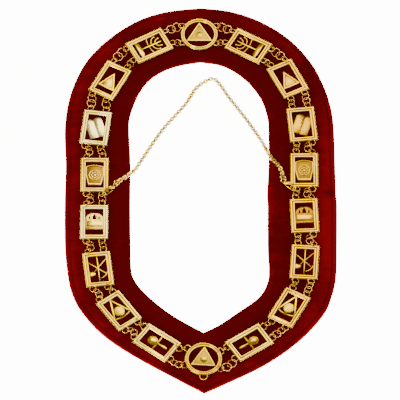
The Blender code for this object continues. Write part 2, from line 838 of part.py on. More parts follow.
def build_medallion(name):
    """A round medallion with its triangle, its four eyes and, at the bottom, the jewel ring."""
    across, along, turn, _ = MEDALLIONS[name]
    pieces = [rim_mesh()] + medallion_triangle(turn)
    placement = Matrix.Translation(place(across, along) + Vector((0.0, 0.0, PLATE_BASE)))
    for piece in pieces:
        piece.transform(placement)
    for side in ("left", "right"):
        if name == "top":
            pieces += eye_meshes(side, 1, True)
        else:
            pieces += eye_meshes(side, len(PLATES[side]) + 1, False)
    if name == "bottom":
        drop = MEDALLION_RADIUS + JEWEL_RING_REACH
        centre = place(across, along) + Vector((0.0, -drop, PLATE_BASE + RAIL_HEIGHT / 2))
        pieces.append(ring_mesh(JEWEL_RING_RADIUS, EYE_WIRE, Matrix.Translation(centre)))
    item = new_object(f"medallion_{name}", fuse(pieces, PLATE_KEEP), PART)
    finish(item, new_material(f"gilt_{name}", GOLD, 0.28, 1.0))


def build_links():
    """The loose rings of every gap, two chains to a gap."""
    for side in ("left", "right"):
        for index, inner, start, end in chain_ends(side):
            place_name = "inner" if inner else "outer"
            meshes = [ring_mesh(*ring) for ring in chain_rings(side, index, inner, start, end)[1:-1]]
            mesh = fuse(meshes, LINK_KEEP) if len(meshes) > 1 else meshes[0]
            item = new_object(f"links_{side}_{index}_{place_name}", mesh, PART)
            finish(item, new_material(f"rose_{side}_{index}_{place_name}", ROSE_GOLD, 0.3, 1.0))


def clasp_matrix(side):
    """Place of a clasp: its hook in the inner eye below the fourth plate, its tail up and inwards."""
    offset_across, offset_along, rise, roll, pitch, heading = CLASPS[side]
    offset = Vector((offset_across, offset_along, 0.0)) * EYE_RADIUS
    hook = plate_eye(PLATES[side][CLASPED_PLATE - 1], side, True, False) + offset
    turn = Matrix.Rotation(math.radians(heading), 4, "Z")
    tail = hook - turn @ Vector((CLASP_HOOK_REACH * CLASP_LENGTH, 0.0, 0.0))
    tail.z = rise * CLASP_LENGTH
    lean = Matrix.Rotation(math.radians(pitch), 4, "Y") @ Matrix.Rotation(math.radians(roll), 4, "X")
    flip = Matrix.Diagonal((1.0, 1.0 if side == "left" else -1.0, 1.0, 1.0))
    return Matrix.Translation(tail) @ turn @ lean @ flip


def tube(name, points, radius, thicknesses, resolution):
    """A tube through points, with its own thickness at each."""
    curve = bpy.data.curves.new(name, "CURVE")
    curve.dimensions = "3D"
    curve.bevel_depth = radius
    curve.bevel_resolution = resolution
    curve.use_fill_caps = True
    spline = curve.splines.new("POLY")
    spline.points.add(len(points) - 1)
    for point, place_of, thickness in zip(spline.points, points, thicknesses):
        point.co = (*place_of, 1.0)
        point.radius = thickness
    return new_object(name, curve, PART)


def clasp_point(along, across):
    """A point of a clasp's plane from shares of its length and width."""
    return Vector((along * CLASP_LENGTH, across * CLASP_WIDTH, 0.0))


def build_clasp(side):
    """A lobster clasp: a hooked body and a straight sprung lever across its mouth."""
    placement = clasp_matrix(side)
    line = [placement @ clasp_point(*row[:2]) for row in CLASP_LINE]
    thicknesses = [row[2] for row in CLASP_LINE]
    item = tube(f"clasp_body_{side}", line, CLASP_WIRE, thicknesses, 1)
    finish(item, new_material(f"clasp_{side}", GOLD, 0.25, 1.0))
    pivot = clasp_point(*LEVER_PIVOT)
    tip = clasp_point(*LEVER_TIP)
    run = tip - pivot
    reach = CLASP_WIRE * CLASP_LINE[-1][2] + GAP
    tip -= run.normalized() * reach
    middle = pivot.lerp(tip, LEVER_SWELL_SHARE)
    corners = [placement @ point - placement @ pivot for point in (pivot, middle, tip)]
    lever = tube(f"clasp_lever_{side}", corners, LEVER_WIRE, LEVER_THICKNESS, 1)
    lever.location = placement @ pivot
    finish(lever, new_material(f"lever_{side}", GOLD, 0.25, 1.0))


def build_safety_chain():
    """The fine chain as a plain tube along its route."""
    knots = []
    for across, along, height in SAFETY_CHAIN_ROUTE:
        knots.append(place(across, along) + Vector((0.0, 0.0, height * SAFETY_CHAIN_WIDTH)))
    lowest = SAFETY_CHAIN_WIDTH / 2 + FLOOR_CLEARANCE
    points = []
    for step in range(SAFETY_CHAIN_POINTS):
        share = step / (SAFETY_CHAIN_POINTS - 1) * (len(knots) - 1)
        index = min(int(share), len(knots) - 2)
        before = knots[max(index - 1, 0)]
        after = knots[min(index + 2, len(knots) - 1)]
        point = curve_point(before, knots[index], knots[index + 1], after, share - index)
        point.z = max(point.z, lowest)
        points.append(point)
    item = tube("safety_chain", points, SAFETY_CHAIN_WIDTH / 2, [1.0] * len(points), 2)
    finish(item, new_material("pale_gilt", PALE_GOLD, 0.35, 1.0))


def finish(item, material):
    """Gives an object its material and hangs it on the empty under the middle of the velvet."""
    item.data.materials.clear()
    item.data.materials.append(material)
    item.parent = MIDDLE
    if item.type == "MESH":
        item.data.shade_smooth()
        item.data.set_sharp_from_angle(angle=SMOOTH_ANGLE)


def build_velvet():
    """The velvet collar."""
    item = new_object("velvet_collar", velvet_mesh(), PART)
    finish(item, new_material("velvet", VELVET_RED, 0.9, 0.0))


clear_scene()
PART = new_collection("chain_of_office")
CUTTERS = new_collection("cutters")
MIDDLE = bpy.data.objects.new("middle", None)
PART.objects.link(MIDDLE)
MIDDLE.location = -plan_middle()

build_velvet()
for medallion in MEDALLIONS:
    build_medallion(medallion)
for side_name, side_rows in PLATES.items():
    for plate_number, plate_row in enumerate(side_rows, start=1):
        build_plate(side_name, plate_number, plate_row)
build_links()
build_safety_chain()
for side_name in PLATES:
    build_clasp(side_name)
bpy.context.view_layer.update()
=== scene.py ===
"""Looks of the chain of office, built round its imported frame.

The velvet, the moulded plates with their figures, the soldered eyes and jump rings,
the fine safety chain and the lobster clasps are modelled here in metres, in the
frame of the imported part, and each stands for the plain solid of the same place.
"""
import logging
import math
from collections.abc import Iterable, Mapping, Sequence
from dataclasses import dataclass
from enum import Enum

import bmesh
import bpy
from mathutils import Matrix, Vector

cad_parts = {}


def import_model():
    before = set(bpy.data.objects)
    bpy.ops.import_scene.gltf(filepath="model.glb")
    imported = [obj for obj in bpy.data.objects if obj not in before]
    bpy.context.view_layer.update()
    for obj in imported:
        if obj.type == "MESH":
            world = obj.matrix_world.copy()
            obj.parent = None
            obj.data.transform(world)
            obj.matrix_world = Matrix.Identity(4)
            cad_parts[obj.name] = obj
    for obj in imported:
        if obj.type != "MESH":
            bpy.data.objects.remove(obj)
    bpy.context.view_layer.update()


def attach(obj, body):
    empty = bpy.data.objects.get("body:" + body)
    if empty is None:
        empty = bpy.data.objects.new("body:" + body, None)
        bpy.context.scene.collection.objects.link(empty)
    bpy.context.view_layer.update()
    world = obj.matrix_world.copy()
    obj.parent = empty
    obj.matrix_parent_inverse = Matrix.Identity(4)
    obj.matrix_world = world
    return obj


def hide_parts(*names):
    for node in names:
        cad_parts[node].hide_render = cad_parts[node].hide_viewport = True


LOG = logging.getLogger("chain_of_office")

Share = tuple[float, float]
Tint = tuple[float, float, float]
Colour = tuple[float, float, float, float]


class Side(Enum):
    """The wearer's two sides as they lie in the picture."""

    LEFT = "left"
    RIGHT = "right"

    @property
    def hand(self) -> int:
        """Sign that turns a left-hand shape into its mirror."""
        return 1 if self is Side.LEFT else -1


class Figure(Enum):
    """The traditional figures that fill the plates."""

    CANDELABRUM = "candelabrum"
    TRIANGLE = "triangle"
    TABLETS = "tablets"
    KEYSTONE = "keystone"
    CHEST = "chest"
    TOOLS = "tools"
    COMPASSES = "compasses"
    MALLET = "mallet"


@dataclass(frozen=True)
class PlatePlace:
    """Where a plate lies, in pitches from the middle of the layout, and its turn in degrees."""

    figure: Figure
    across: float
    along: float
    turn: float


@dataclass(frozen=True)
class MedallionPlace:
    """Where a medallion lies, the turn of its triangle and the bearings of its eyes, in degrees."""

    across: float
    along: float
    turn: float
    eyes: Mapping[tuple[Side, bool], float]


@dataclass(frozen=True)
class VelvetRow:
    """A section of the velvet: its middle in pitches and its half width in bands."""

    across: float
    along: float
    half_across: float
    half_along: float


@dataclass(frozen=True)
class Crease:
    """A shallow valley pressed into the velvet, from one share of its width to another."""

    side: Side
    along: float
    from_share: float
    to_share: float
    depth: float
    reach: float


@dataclass(frozen=True)
class ClaspPlace:
    """How a clasp lies in its eye, in shares of the eye and the clasp, and degrees."""

    offset_across: float
    offset_along: float
    rise: float
    roll: float
    pitch: float
    heading: float


@dataclass(frozen=True)
class Ring:
    """A wire ring: its radius, its wire and the matrix of its place."""

    radius: float
    wire: float
    placement: Matrix


@dataclass(frozen=True)
class Relief:
    """A flat shape with rounded edges, from its outlines in metres."""

    outlines: Sequence[Sequence[Share]]
    top: float
    rounding: float = 0.00028
    foot: float = 0.0002


PLATES: dict[Side, tuple[PlatePlace, ...]] = {
    Side.LEFT: (
        PlatePlace(Figure.CANDELABRUM, -0.904, 3.264, 28.0),
        PlatePlace(Figure.TRIANGLE, -1.610, 2.524, 61.5),
        PlatePlace(Figure.TABLETS, -1.865, 1.512, 82.8),
        PlatePlace(Figure.KEYSTONE, -1.880, 0.510, 89.5),
        PlatePlace(Figure.CHEST, -1.885, -0.489, 90.0),
        PlatePlace(Figure.TOOLS, -1.810, -1.486, 96.6),
        PlatePlace(Figure.COMPASSES, -1.441, -2.360, 125.5),
        PlatePlace(Figure.MALLET, -0.765, -3.030, 143.8),
    ),
    Side.RIGHT: (
        PlatePlace(Figure.CANDELABRUM, 0.865, 3.260, 150.5),
        PlatePlace(Figure.TRIANGLE, 1.571, 2.559, 116.6),
        PlatePlace(Figure.TABLETS, 1.826, 1.584, 95.9),
        PlatePlace(Figure.KEYSTONE, 1.861, 0.610, 90.5),
        PlatePlace(Figure.CHEST, 1.863, -0.356, 92.7),
        PlatePlace(Figure.TOOLS, 1.862, -1.335, 86.6),
        PlatePlace(Figure.COMPASSES, 1.584, -2.294, 61.7),
        PlatePlace(Figure.MALLET, 0.876, -3.028, 33.6),
    ),
}

MEDALLIONS: dict[str, MedallionPlace] = {
    "top": MedallionPlace(
        -0.012,
        3.509,
        0.0,
        {
            (Side.LEFT, False): 150.0,
            (Side.LEFT, True): 211.0,
            (Side.RIGHT, False): 30.0,
            (Side.RIGHT, True): -32.0,
        },
    ),
    "bottom": MedallionPlace(
        0.064,
        -3.371,
        -4.0,
        {
            (Side.LEFT, False): 200.0,
            (Side.LEFT, True): 143.0,
            (Side.RIGHT, False): -34.0,
            (Side.RIGHT, True): 28.0,
        },
    ),
}

# Sections of the velvet from the top down each side, in pitches and bands. They were chosen
# by hand and then moved by a fitting script until the edges followed the picture's outline.
VELVET: dict[Side, tuple[VelvetRow, ...]] = {
    Side.LEFT: (
        VelvetRow(0.000, 3.527, 0.000, 0.503),
        VelvetRow(-0.464, 3.456, -0.093, 0.501),
        VelvetRow(-0.855, 3.311, -0.197, 0.469),
        VelvetRow(-1.226, 3.047, -0.296, 0.401),
        VelvetRow(-1.515, 2.699, -0.399, 0.310),
        VelvetRow(-1.688, 2.339, -0.452, 0.222),
        VelvetRow(-1.808, 1.912, -0.477, 0.145),
        VelvetRow(-1.844, 1.468, -0.498, 0.019),
        VelvetRow(-1.820, 0.745, -0.501, 0.000),
        VelvetRow(-1.829, -0.106, -0.506, 0.000),
        VelvetRow(-1.821, -0.957, -0.506, 0.000),
        VelvetRow(-1.789, -1.507, -0.494, -0.018),
        VelvetRow(-1.707, -1.843, -0.497, -0.091),
        VelvetRow(-1.529, -2.163, -0.505, -0.149),
        VelvetRow(-1.160, -2.585, -0.487, -0.218),
        VelvetRow(-0.684, -2.950, -0.347, -0.332),
        VelvetRow(0.068, -3.422, 0.005, -0.551),
    ),
    Side.RIGHT: (
        VelvetRow(0.000, 3.527, 0.000, 0.503),
        VelvetRow(0.448, 3.460, 0.093, 0.496),
        VelvetRow(0.842, 3.286, 0.211, 0.461),
        VelvetRow(1.218, 2.992, 0.325, 0.396),
        VelvetRow(1.494, 2.632, 0.402, 0.311),
        VelvetRow(1.667, 2.268, 0.454, 0.213),
        VelvetRow(1.779, 1.840, 0.489, 0.123),
        VelvetRow(1.810, 1.467, 0.507, 0.018),
        VelvetRow(1.819, 0.744, 0.515, 0.000),
        VelvetRow(1.812, 0.129, 0.533, 0.000),
        VelvetRow(1.825, -0.105, 0.536, 0.000),
        VelvetRow(1.822, -0.957, 0.534, 0.000),
        VelvetRow(1.825, -1.510, 0.520, -0.041),
        VelvetRow(1.776, -1.861, 0.501, -0.106),
        VelvetRow(1.613, -2.237, 0.496, -0.163),
        VelvetRow(1.197, -2.678, 0.475, -0.259),
        VelvetRow(0.703, -3.071, 0.330, -0.377),
        VelvetRow(0.068, -3.422, 0.005, -0.551),
    ),
}

CREASES: tuple[Crease, ...] = (
    Crease(Side.RIGHT, 0.0095, 0.74, 1.02, 0.0011, 0.0042),
    Crease(Side.RIGHT, -0.0180, 0.80, 1.02, 0.0005, 0.0050),
    Crease(Side.LEFT, -0.1180, 0.80, 1.02, 0.0008, 0.0050),
    Crease(Side.LEFT, -0.1040, 0.84, 1.02, 0.0005, 0.0040),
    Crease(Side.LEFT, 0.1320, 0.86, 1.02, 0.0004, 0.0060),
    Crease(Side.RIGHT, 0.1560, 0.84, 1.02, 0.0004, 0.0060),
)

CLASPS: dict[Side, ClaspPlace] = {
    Side.LEFT: ClaspPlace(0.32, -0.19, 0.394, -43.0, 5.3, -144.5),
    Side.RIGHT: ClaspPlace(-0.32, -0.10, 0.376, 46.0, 3.2, -32.0),
}

# Route of the safety chain: across and along in pitches, height in chain widths. Its points
# were chosen by hand in metres, and a script restated them in these shares.
SAFETY_CHAIN_ROUTE: tuple[tuple[float, float, float], ...] = (
    (-1.5096, 0.2755, 2.067),
    (-1.4650, 0.3599, 1.733),
    (-1.3726, 0.4268, 1.500),
    (-1.2787, 0.5080, 1.433),
    (-1.2182, 0.5573, 1.433),
    (-1.1672, 0.6290, 1.000),
    (-1.1146, 0.7166, 0.567),
    (-1.0191, 0.8885, 0.533),
    (-0.8376, 1.2134, 0.533),
    (-0.6545, 1.5143, 0.533),
    (-0.4283, 1.8121, 0.533),
    (-0.2468, 2.0557, 0.533),
    (-0.0860, 2.3535, 0.533),
    (0.0717, 2.5064, 0.533),
    (0.2309, 2.5764, 0.533),
    (0.3535, 2.4602, 0.533),
    (0.5271, 2.1656, 0.533),
    (0.7102, 1.8933, 0.533),
    (0.8678, 1.6497, 0.533),
    (1.0287, 1.3774, 0.533),
    (1.1146, 1.2229, 0.567),
    (1.1624, 1.1067, 1.000),
    (1.2022, 1.0111, 1.433),
    (1.2532, 0.9013, 1.467),
    (1.3344, 0.7882, 1.500),
    (1.4220, 0.6768, 1.500),
    (1.4682, 0.5446, 1.600),
    (1.4904, 0.3774, 2.000),
)


class Bench:
    """Modelling moves on the scene's objects, by Blender's own operators."""

    SMOOTH_ANGLE = math.radians(38.0)
    WELD = 0.000004

    @staticmethod
    def deselect() -> None:
        """Leaves nothing selected."""
        bpy.ops.object.select_all(action="DESELECT")

    @staticmethod
    def pick(items: Iterable[bpy.types.Object]) -> None:
        """Selects objects and makes the first of them active.

        Args:
            items: The objects to select.
        """
        Bench.deselect()
        chosen = list(items)
        for item in chosen:
            item.select_set(True)
        bpy.context.view_layer.objects.active = chosen[0]

    @staticmethod
    def settle(item: bpy.types.Object, placement: Matrix) -> bpy.types.Object:
        """Moves an object and works its place into its mesh.

        Args:
            item: The object, a mesh.
            placement: Where it goes.

        Returns:
            The same object, unmoved and unturned.
        """
        item.matrix_world = placement
        Bench.pick([item])
        bpy.ops.object.transform_apply(location=True, rotation=True, scale=True)
        return item

    @staticmethod
    def join(items: Sequence[bpy.types.Object], name: str) -> bpy.types.Object:
        """Joins meshes into one named piece.

        Args:
            items: The objects to join; the first one stays.
            name: The name of the piece.

        Returns:
            The joined object.
        """
        Bench.pick(items)
        if len(items) > 1:
            bpy.ops.object.join()
        piece = bpy.context.view_layer.objects.active
        piece.name = name
        piece.data.name = name
        return piece

    @staticmethod
    def dress(items: Iterable[bpy.types.Object], finish: bpy.types.Material) -> None:
        """Gives objects one material.

        Args:
            items: The objects.
            finish: Their material.
        """
        for item in items:
            item.data.materials.clear()
            item.data.materials.append(finish)

    @staticmethod
    def smooth(item: bpy.types.Object, angle: float = SMOOTH_ANGLE) -> None:
        """Shades an object smooth, with edges kept where its faces turn sharply.

        Args:
            item: The object.
            angle: The sharpest turn that is still smooth, in radians.
        """
        Bench.pick([item])
        bpy.ops.object.shade_smooth_by_angle(angle=angle)

    @staticmethod
    def torus(ring: Ring, around: int, section: int) -> bpy.types.Object:
        """A smooth wire ring at its place.

        Args:
            ring: The ring's sizes and place.
            around: Segments round the ring.
            section: Segments round the wire.

        Returns:
            The ring as a mesh object.
        """
        Bench.deselect()
        bpy.ops.mesh.primitive_torus_add(
            major_radius=ring.radius,
            minor_radius=ring.wire,
            major_segments=around,
            minor_segments=section,
        )
        return Bench.settle(bpy.context.object, ring.placement)

    @staticmethod
    def weld(item: bpy.types.Object) -> None:
        """Merges doubled points of an object's mesh and turns its faces outwards.

        Args:
            item: The mesh object.
        """
        Bench.pick([item])
        bpy.ops.object.mode_set(mode="EDIT")
        bpy.ops.mesh.select_all(action="SELECT")
        bpy.ops.mesh.remove_doubles(threshold=Bench.WELD)
        bpy.ops.mesh.normals_make_consistent(inside=False)
        bpy.ops.object.mode_set(mode="OBJECT")

    @staticmethod
    def stamped(
        outlines: Sequence[Sequence[Share]], foot: float, top: float, rounding: float
    ) -> bpy.types.Object:
        """A flat shape with rounded edges, from its outline and the outlines of its holes.

        Args:
            outlines: Closed lines of points in metres.
            foot: Height of its underside.
            top: Height of its face.
            rounding: Radius of its edges.

        Returns:
            The shape as a closed mesh object.
        """
        curve = bpy.data.curves.new("stamped", "CURVE")
        curve.dimensions = "2D"
        curve.fill_mode = "BOTH"
        curve.bevel_depth = rounding
        curve.bevel_resolution = 1
        curve.offset = -rounding
        curve.extrude = (top - foot) / 2 - rounding
        for outline in outlines:
            spline = curve.splines.new("POLY")
            spline.points.add(len(outline) - 1)
            for point, (across, along) in zip(spline.points, outline):
                point.co = (across, along, 0.0, 1.0)
            spline.use_cyclic_u = True
        item = bpy.data.objects.new("stamped", curve)
        bpy.context.scene.collection.objects.link(item)
        Bench.pick([item])
        bpy.ops.object.convert(target="MESH")
        Bench.settle(item, Matrix.Translation((0.0, 0.0, (top + foot) / 2)))
        Bench.weld(item)
        return item

    @staticmethod
    def wire(
        points: Sequence[Vector], radii: Sequence[float], sides: int, placement: Matrix
    ) -> bpy.types.Object:
        """A round wire of changing thickness through points, with closed ends.

        Args:
            points: The wire's middle line.
            radii: Its radius at each point.
            sides: Segments round a quarter of it.
            placement: Where the wire goes.

        Returns:
            The wire as a closed mesh object.
        """
        curve = bpy.data.curves.new("wire", "CURVE")
        curve.dimensions = "3D"
        curve.bevel_depth = 1.0
        curve.bevel_resolution = sides
        curve.use_fill_caps = True
        spline = curve.splines.new("POLY")
        spline.points.add(len(points) - 1)
        for point, place, radius in zip(spline.points, points, radii):
            point.co = (*place, 1.0)
            point.radius = radius
        item = bpy.data.objects.new("wire", curve)
        bpy.context.scene.collection.objects.link(item)
        Bench.pick([item])
        bpy.ops.object.convert(target="MESH")
        Bench.settle(item, placement)
        Bench.weld(item)
        return item


class Curves:
    """Smooth lines through points."""

    @staticmethod
    def through(before: Vector, first: Vector, second: Vector, after: Vector, share: float) -> Vector:
        """A point of the smooth curve through four points.

        Args:
            before: The point ahead of the stretch.
            first: Start of the stretch.
            second: End of the stretch.
            after: The point past the stretch.
            share: How far along the stretch, from 0 to 1.

        Returns:
            The point.
        """
        square = share * share
        cube = square * share
        return 0.5 * (
            2 * first
            + (second - before) * share
            + (2 * before - 5 * first + 4 * second - after) * square
            + (3 * first - before - 3 * second + after) * cube
        )

    @staticmethod
    def smoothed(knots: Sequence[Vector], steps: int) -> list[Vector]:
        """Points on the smooth curve through knots.

        Args:
            knots: The points to pass through.
            steps: Points made for each stretch.

        Returns:
            The points, ends included.
        """
        points = []
        for index in range(len(knots) - 1):
            before = knots[max(index - 1, 0)]
            after = knots[min(index + 2, len(knots) - 1)]
            for step in range(steps):
                points.append(Curves.through(before, knots[index], knots[index + 1], after, step / steps))
        points.append(knots[-1])
        return points

    @staticmethod
    def spaced(points: Sequence[Vector], pitch: float) -> list[tuple[Vector, Vector]]:
        """Evenly spaced stations along a line.

        Args:
            points: The line.
            pitch: The distance between stations.

        Returns:
            Each station's point and heading.
        """
        stations = []
        due = 0.0
        walked = 0.0
        for start, end in zip(points, points[1:]):
            run = end - start
            while due <= walked + run.length:
                share = (due - walked) / run.length
                stations.append((start.lerp(end, share), run.normalized()))
                due += pitch
            walked += run.length
        return stations

    @staticmethod
    def circle(centre: Share, radius: float, count: int, start: float = 0.0) -> list[Share]:
        """Points round a circle.

        Args:
            centre: Its middle.
            radius: Its radius.
            count: How many points it has.
            start: Bearing of the first point, in radians.

        Returns:
            The points.
        """
        points = []
        for index in range(count):
            angle = start + 2 * math.pi * index / count
            points.append((centre[0] + radius * math.cos(angle), centre[1] + radius * math.sin(angle)))
        return points

    @staticmethod
    def shrunk(outline: Sequence[Share], share: float) -> list[Share]:
        """An outline drawn in towards its own middle.

        Args:
            outline: The points.
            share: What is left of their distance from the middle.

        Returns:
            The new points.
        """
        across = sum(point[0] for point in outline) / len(outline)
        along = sum(point[1] for point in outline) / len(outline)
        return [(across + (x - across) * share, along + (y - along) * share) for x, y in outline]

    @staticmethod
    def stroke(line: Sequence[Share], width: float) -> list[Share]:
        """The outline of a bar of even width along a line.

        Args:
            line: The bar's middle line, in metres.
            width: Its width.

        Returns:
            The outline.
        """
        points = [Vector(point) for point in line]
        left = []
        right = []
        for index, point in enumerate(points):
            before = points[max(index - 1, 0)]
            after = points[min(index + 1, len(points) - 1)]
            heading = (after - before).normalized()
            aside = Vector((-heading.y, heading.x)) * width / 2
            left.append(tuple(point + aside))
            right.append(tuple(point - aside))
        return left + right[::-1]


@dataclass(frozen=True)
class Layout:
    """Driving sizes of the collar and the places of all that lies on it."""

    plate_length: float = 0.0456
    plate_width: float = 0.0315
    rail_width: float = 0.0058
    rail_height: float = 0.0026
    link_gap: float = 0.0172
    medallion_radius: float = 0.0210
    rim_width: float = 0.0045
    band_width: float = 0.0726
    velvet_thickness: float = 0.0025
    gap: float = 0.0003
    chain_spacing: float = 0.0174
    eye_radius: float = 0.0036
    eye_wire: float = 0.0006
    eye_reach: float = 0.0024
    medallion_eye_reach: float = 0.0017
    eye_lift: float = 0.0010
    far_eye_lift: float = 0.0016
    link_radius: float = 0.0038
    link_wire: float = 0.0005
    link_lift: float = 0.00165
    second_link_lift: float = 0.0007
    link_overlap: float = 0.0019
    link_nest: float = 1.4
    last_gap_slack: float = 1.07
    jewel_ring_radius: float = 0.0043
    jewel_ring_reach: float = 0.0016
    velvet_steps: int = 10

    @property
    def pitch(self) -> float:
        """Distance from plate to plate."""
        return self.plate_length + self.link_gap

    @property
    def plate_base(self) -> float:
        """Height of the plates' undersides."""
        return self.velvet_thickness + self.gap

    @property
    def ring_level(self) -> float:
        """Height of the middles of eyes and rings."""
        return self.velvet_thickness + self.gap / 2 + self.link_wire + self.link_lift

    def raw(self, across: float, along: float) -> Vector:
        """A point in pitches, ahead of the shift to the part's origin."""
        return Vector((across * self.pitch, along * self.pitch, 0.0))

    def velvet_edges(self, steps: int) -> list[tuple[Vector, Vector]]:
        """Inner and outer edge of the velvet all the way round, from the top down the left side.

        Args:
            steps: Points made between two sections.

        Returns:
            The pairs of points, ahead of the shift to the part's origin.
        """
        edges: list[tuple[Vector, Vector]] = []
        for side in Side:
            inner = []
            outer = []
            for row in VELVET[side]:
                middle = self.raw(row.across, row.along)
                half = Vector((row.half_across, row.half_along, 0.0)) * self.band_width
                inner.append(middle - half)
                outer.append(middle + half)
            path = list(zip(Curves.smoothed(inner, steps), Curves.smoothed(outer, steps)))
            edges += path[:-1] if side is Side.LEFT else path[:0:-1]
        return edges

    def middle(self) -> Vector:
        """Middle of the velvet's outline, which the part's origin lies under."""
        outer = [pair[1] for pair in self.velvet_edges(2)]
        across = [point.x for point in outer]
        along = [point.y for point in outer]
        return Vector(((min(across) + max(across)) / 2, (min(along) + max(along)) / 2, 0.0))

    def plate_matrix(self, place: PlatePlace) -> Matrix:
        """Place of a plate, with its figure's top along +Y.

        Args:
            place: The plate's row in the layout.

        Returns:
            The matrix, ahead of the shift to the part's origin.
        """
        centre = self.raw(place.across, place.along) + Vector((0.0, 0.0, self.plate_base))
        return Matrix.Translation(centre) @ Matrix.Rotation(math.radians(place.turn - 90.0), 4, "Z")

    def plate_eye(self, side: Side, place: PlatePlace, inner: bool, towards_top: bool) -> Vector:
        """Centre of one of a plate's four eyes.

        Args:
            side: The wearer's side.
            place: The plate.
            inner: Whether the eye is on the inner chain.
            towards_top: Whether it is at the end nearer the top medallion.

        Returns:
            The centre.
        """
        across = (side.hand if inner else -side.hand) * self.chain_spacing / 2
        along = (1 if towards_top else -1) * (self.plate_length / 2 + self.eye_reach)
        turn = Matrix.Rotation(math.radians(place.turn - 90.0), 3, "Z")
        centre = self.raw(place.across, place.along) + turn @ Vector((across, along, 0.0))
        centre.z = self.ring_level
        return centre

    def medallion_eye(self, name: str, side: Side, inner: bool) -> Vector:
        """Centre of one of a medallion's eyes.

        Args:
            name: Top or bottom.
            side: The wearer's side.
            inner: Whether the eye is on the inner chain.

        Returns:
            The centre.
        """
        place = MEDALLIONS[name]
        bearing = math.radians(place.eyes[side, inner])
        reach = self.medallion_radius + self.medallion_eye_reach
        centre = self.raw(place.across, place.along)
        centre += reach * Vector((math.cos(bearing), math.sin(bearing), 0.0))
        centre.z = self.ring_level
        return centre

    def ends(self, side: Side, gap: int, inner: bool) -> tuple[Vector, Vector]:
        """The two eyes that a chain hangs between.

        Args:
            side: The wearer's side.
            gap: Number of the gap, counted from the top medallion.
            inner: Whether it is the inner chain.

        Returns:
            The eyes' centres.
        """
        rows = PLATES[side]
        if gap == 1:
            start = self.medallion_eye("top", side, inner)
        else:
            start = self.plate_eye(side, rows[gap - 2], inner, False)
        if gap > len(rows):
            end = self.medallion_eye("bottom", side, inner)
        else:
            end = self.plate_eye(side, rows[gap - 1], inner, True)
        run = end - start
        least = 2 * (self.eye_radius + self.eye_wire + self.gap)
        shift = max(least - run.length, 0.0) / 2 * run.normalized()
        return start - shift, end + shift

    def loose_radius(self, side: Side, gap: int, inner: bool, run: Vector) -> float:
        """Radius of a gap's loose rings, larger where its eyes stand further apart."""
        spare = 2 * (self.eye_radius - self.link_overlap)
        if inner:
            return (run.length - spare) / 2
        slack = self.last_gap_slack if gap > len(PLATES[side]) else 1.0
        return max(self.link_radius, (run.length - spare) / (2 + self.link_nest) * slack)

    def loose_centres(self, side: Side, gap: int, inner: bool, start: Vector, end: Vector) -> list[Vector]:
        """Centres of the loose rings between two eyes.

        Args:
            side: The wearer's side.
            gap: Number of the gap.
            inner: Whether it is the inner chain.
            start: The eye nearer the top.
            end: The other eye.

        Returns:
            One centre for an inner chain and two for an outer one.
        """
        run = end - start
        along = run.normalized()
        aside = Vector((-along.y, along.x, 0.0)) * side.hand
        if gap > len(PLATES[side]):
            aside = -aside
        radius = self.loose_radius(side, gap, inner, run)
        reach = radius + self.eye_radius - self.link_overlap
        nest = 0.0 if inner else self.link_nest * radius
        inset = (run.length - nest) / 2
        bow = math.sqrt(max(reach**2 - inset**2, 0.0))
        if inner:
            return [start + run / 2 + aside * bow]
        return [start + along * inset + aside * bow, end - along * inset + aside * bow]

    def rings(self, side: Side, gap: int, inner: bool) -> list[Ring]:
        """The eyes and loose rings of a gap's chain, in order.

        Args:
            side: The wearer's side.
            gap: Number of the gap.
            inner: Whether it is the inner chain.

        Returns:
            The rings, the first and last of them soldered eyes.
        """
        start, end = self.ends(side, gap, inner)
        stations = [start] + self.loose_centres(side, gap, inner, start, end) + [end]
        radius = self.loose_radius(side, gap, inner, end - start)
        last = len(stations) - 1
        rings = []
        for number, centre in enumerate(stations):
            if inner:
                run = end - start
            elif number < 2:
                run = stations[1] - start
            else:
                run = end - stations[2]
            if number in (0, last):
                size, wire = self.eye_radius, self.eye_wire
                lift = self.far_eye_lift if number == last and not inner else self.eye_lift
            else:
                size, wire = radius, self.link_wire
                lift = -self.link_lift if number == 1 else -self.second_link_lift
            lean = Matrix.Rotation(math.asin(lift * side.hand / size), 4, "X")
            turn = Matrix.Rotation(math.atan2(run.y, run.x), 4, "Z")
            rings.append(Ring(size, wire, Matrix.Translation(centre) @ turn @ lean))
        return rings

    def home(self) -> Matrix:
        """Shift from the layout to the part's origin."""
        return Matrix.Translation(-self.middle())


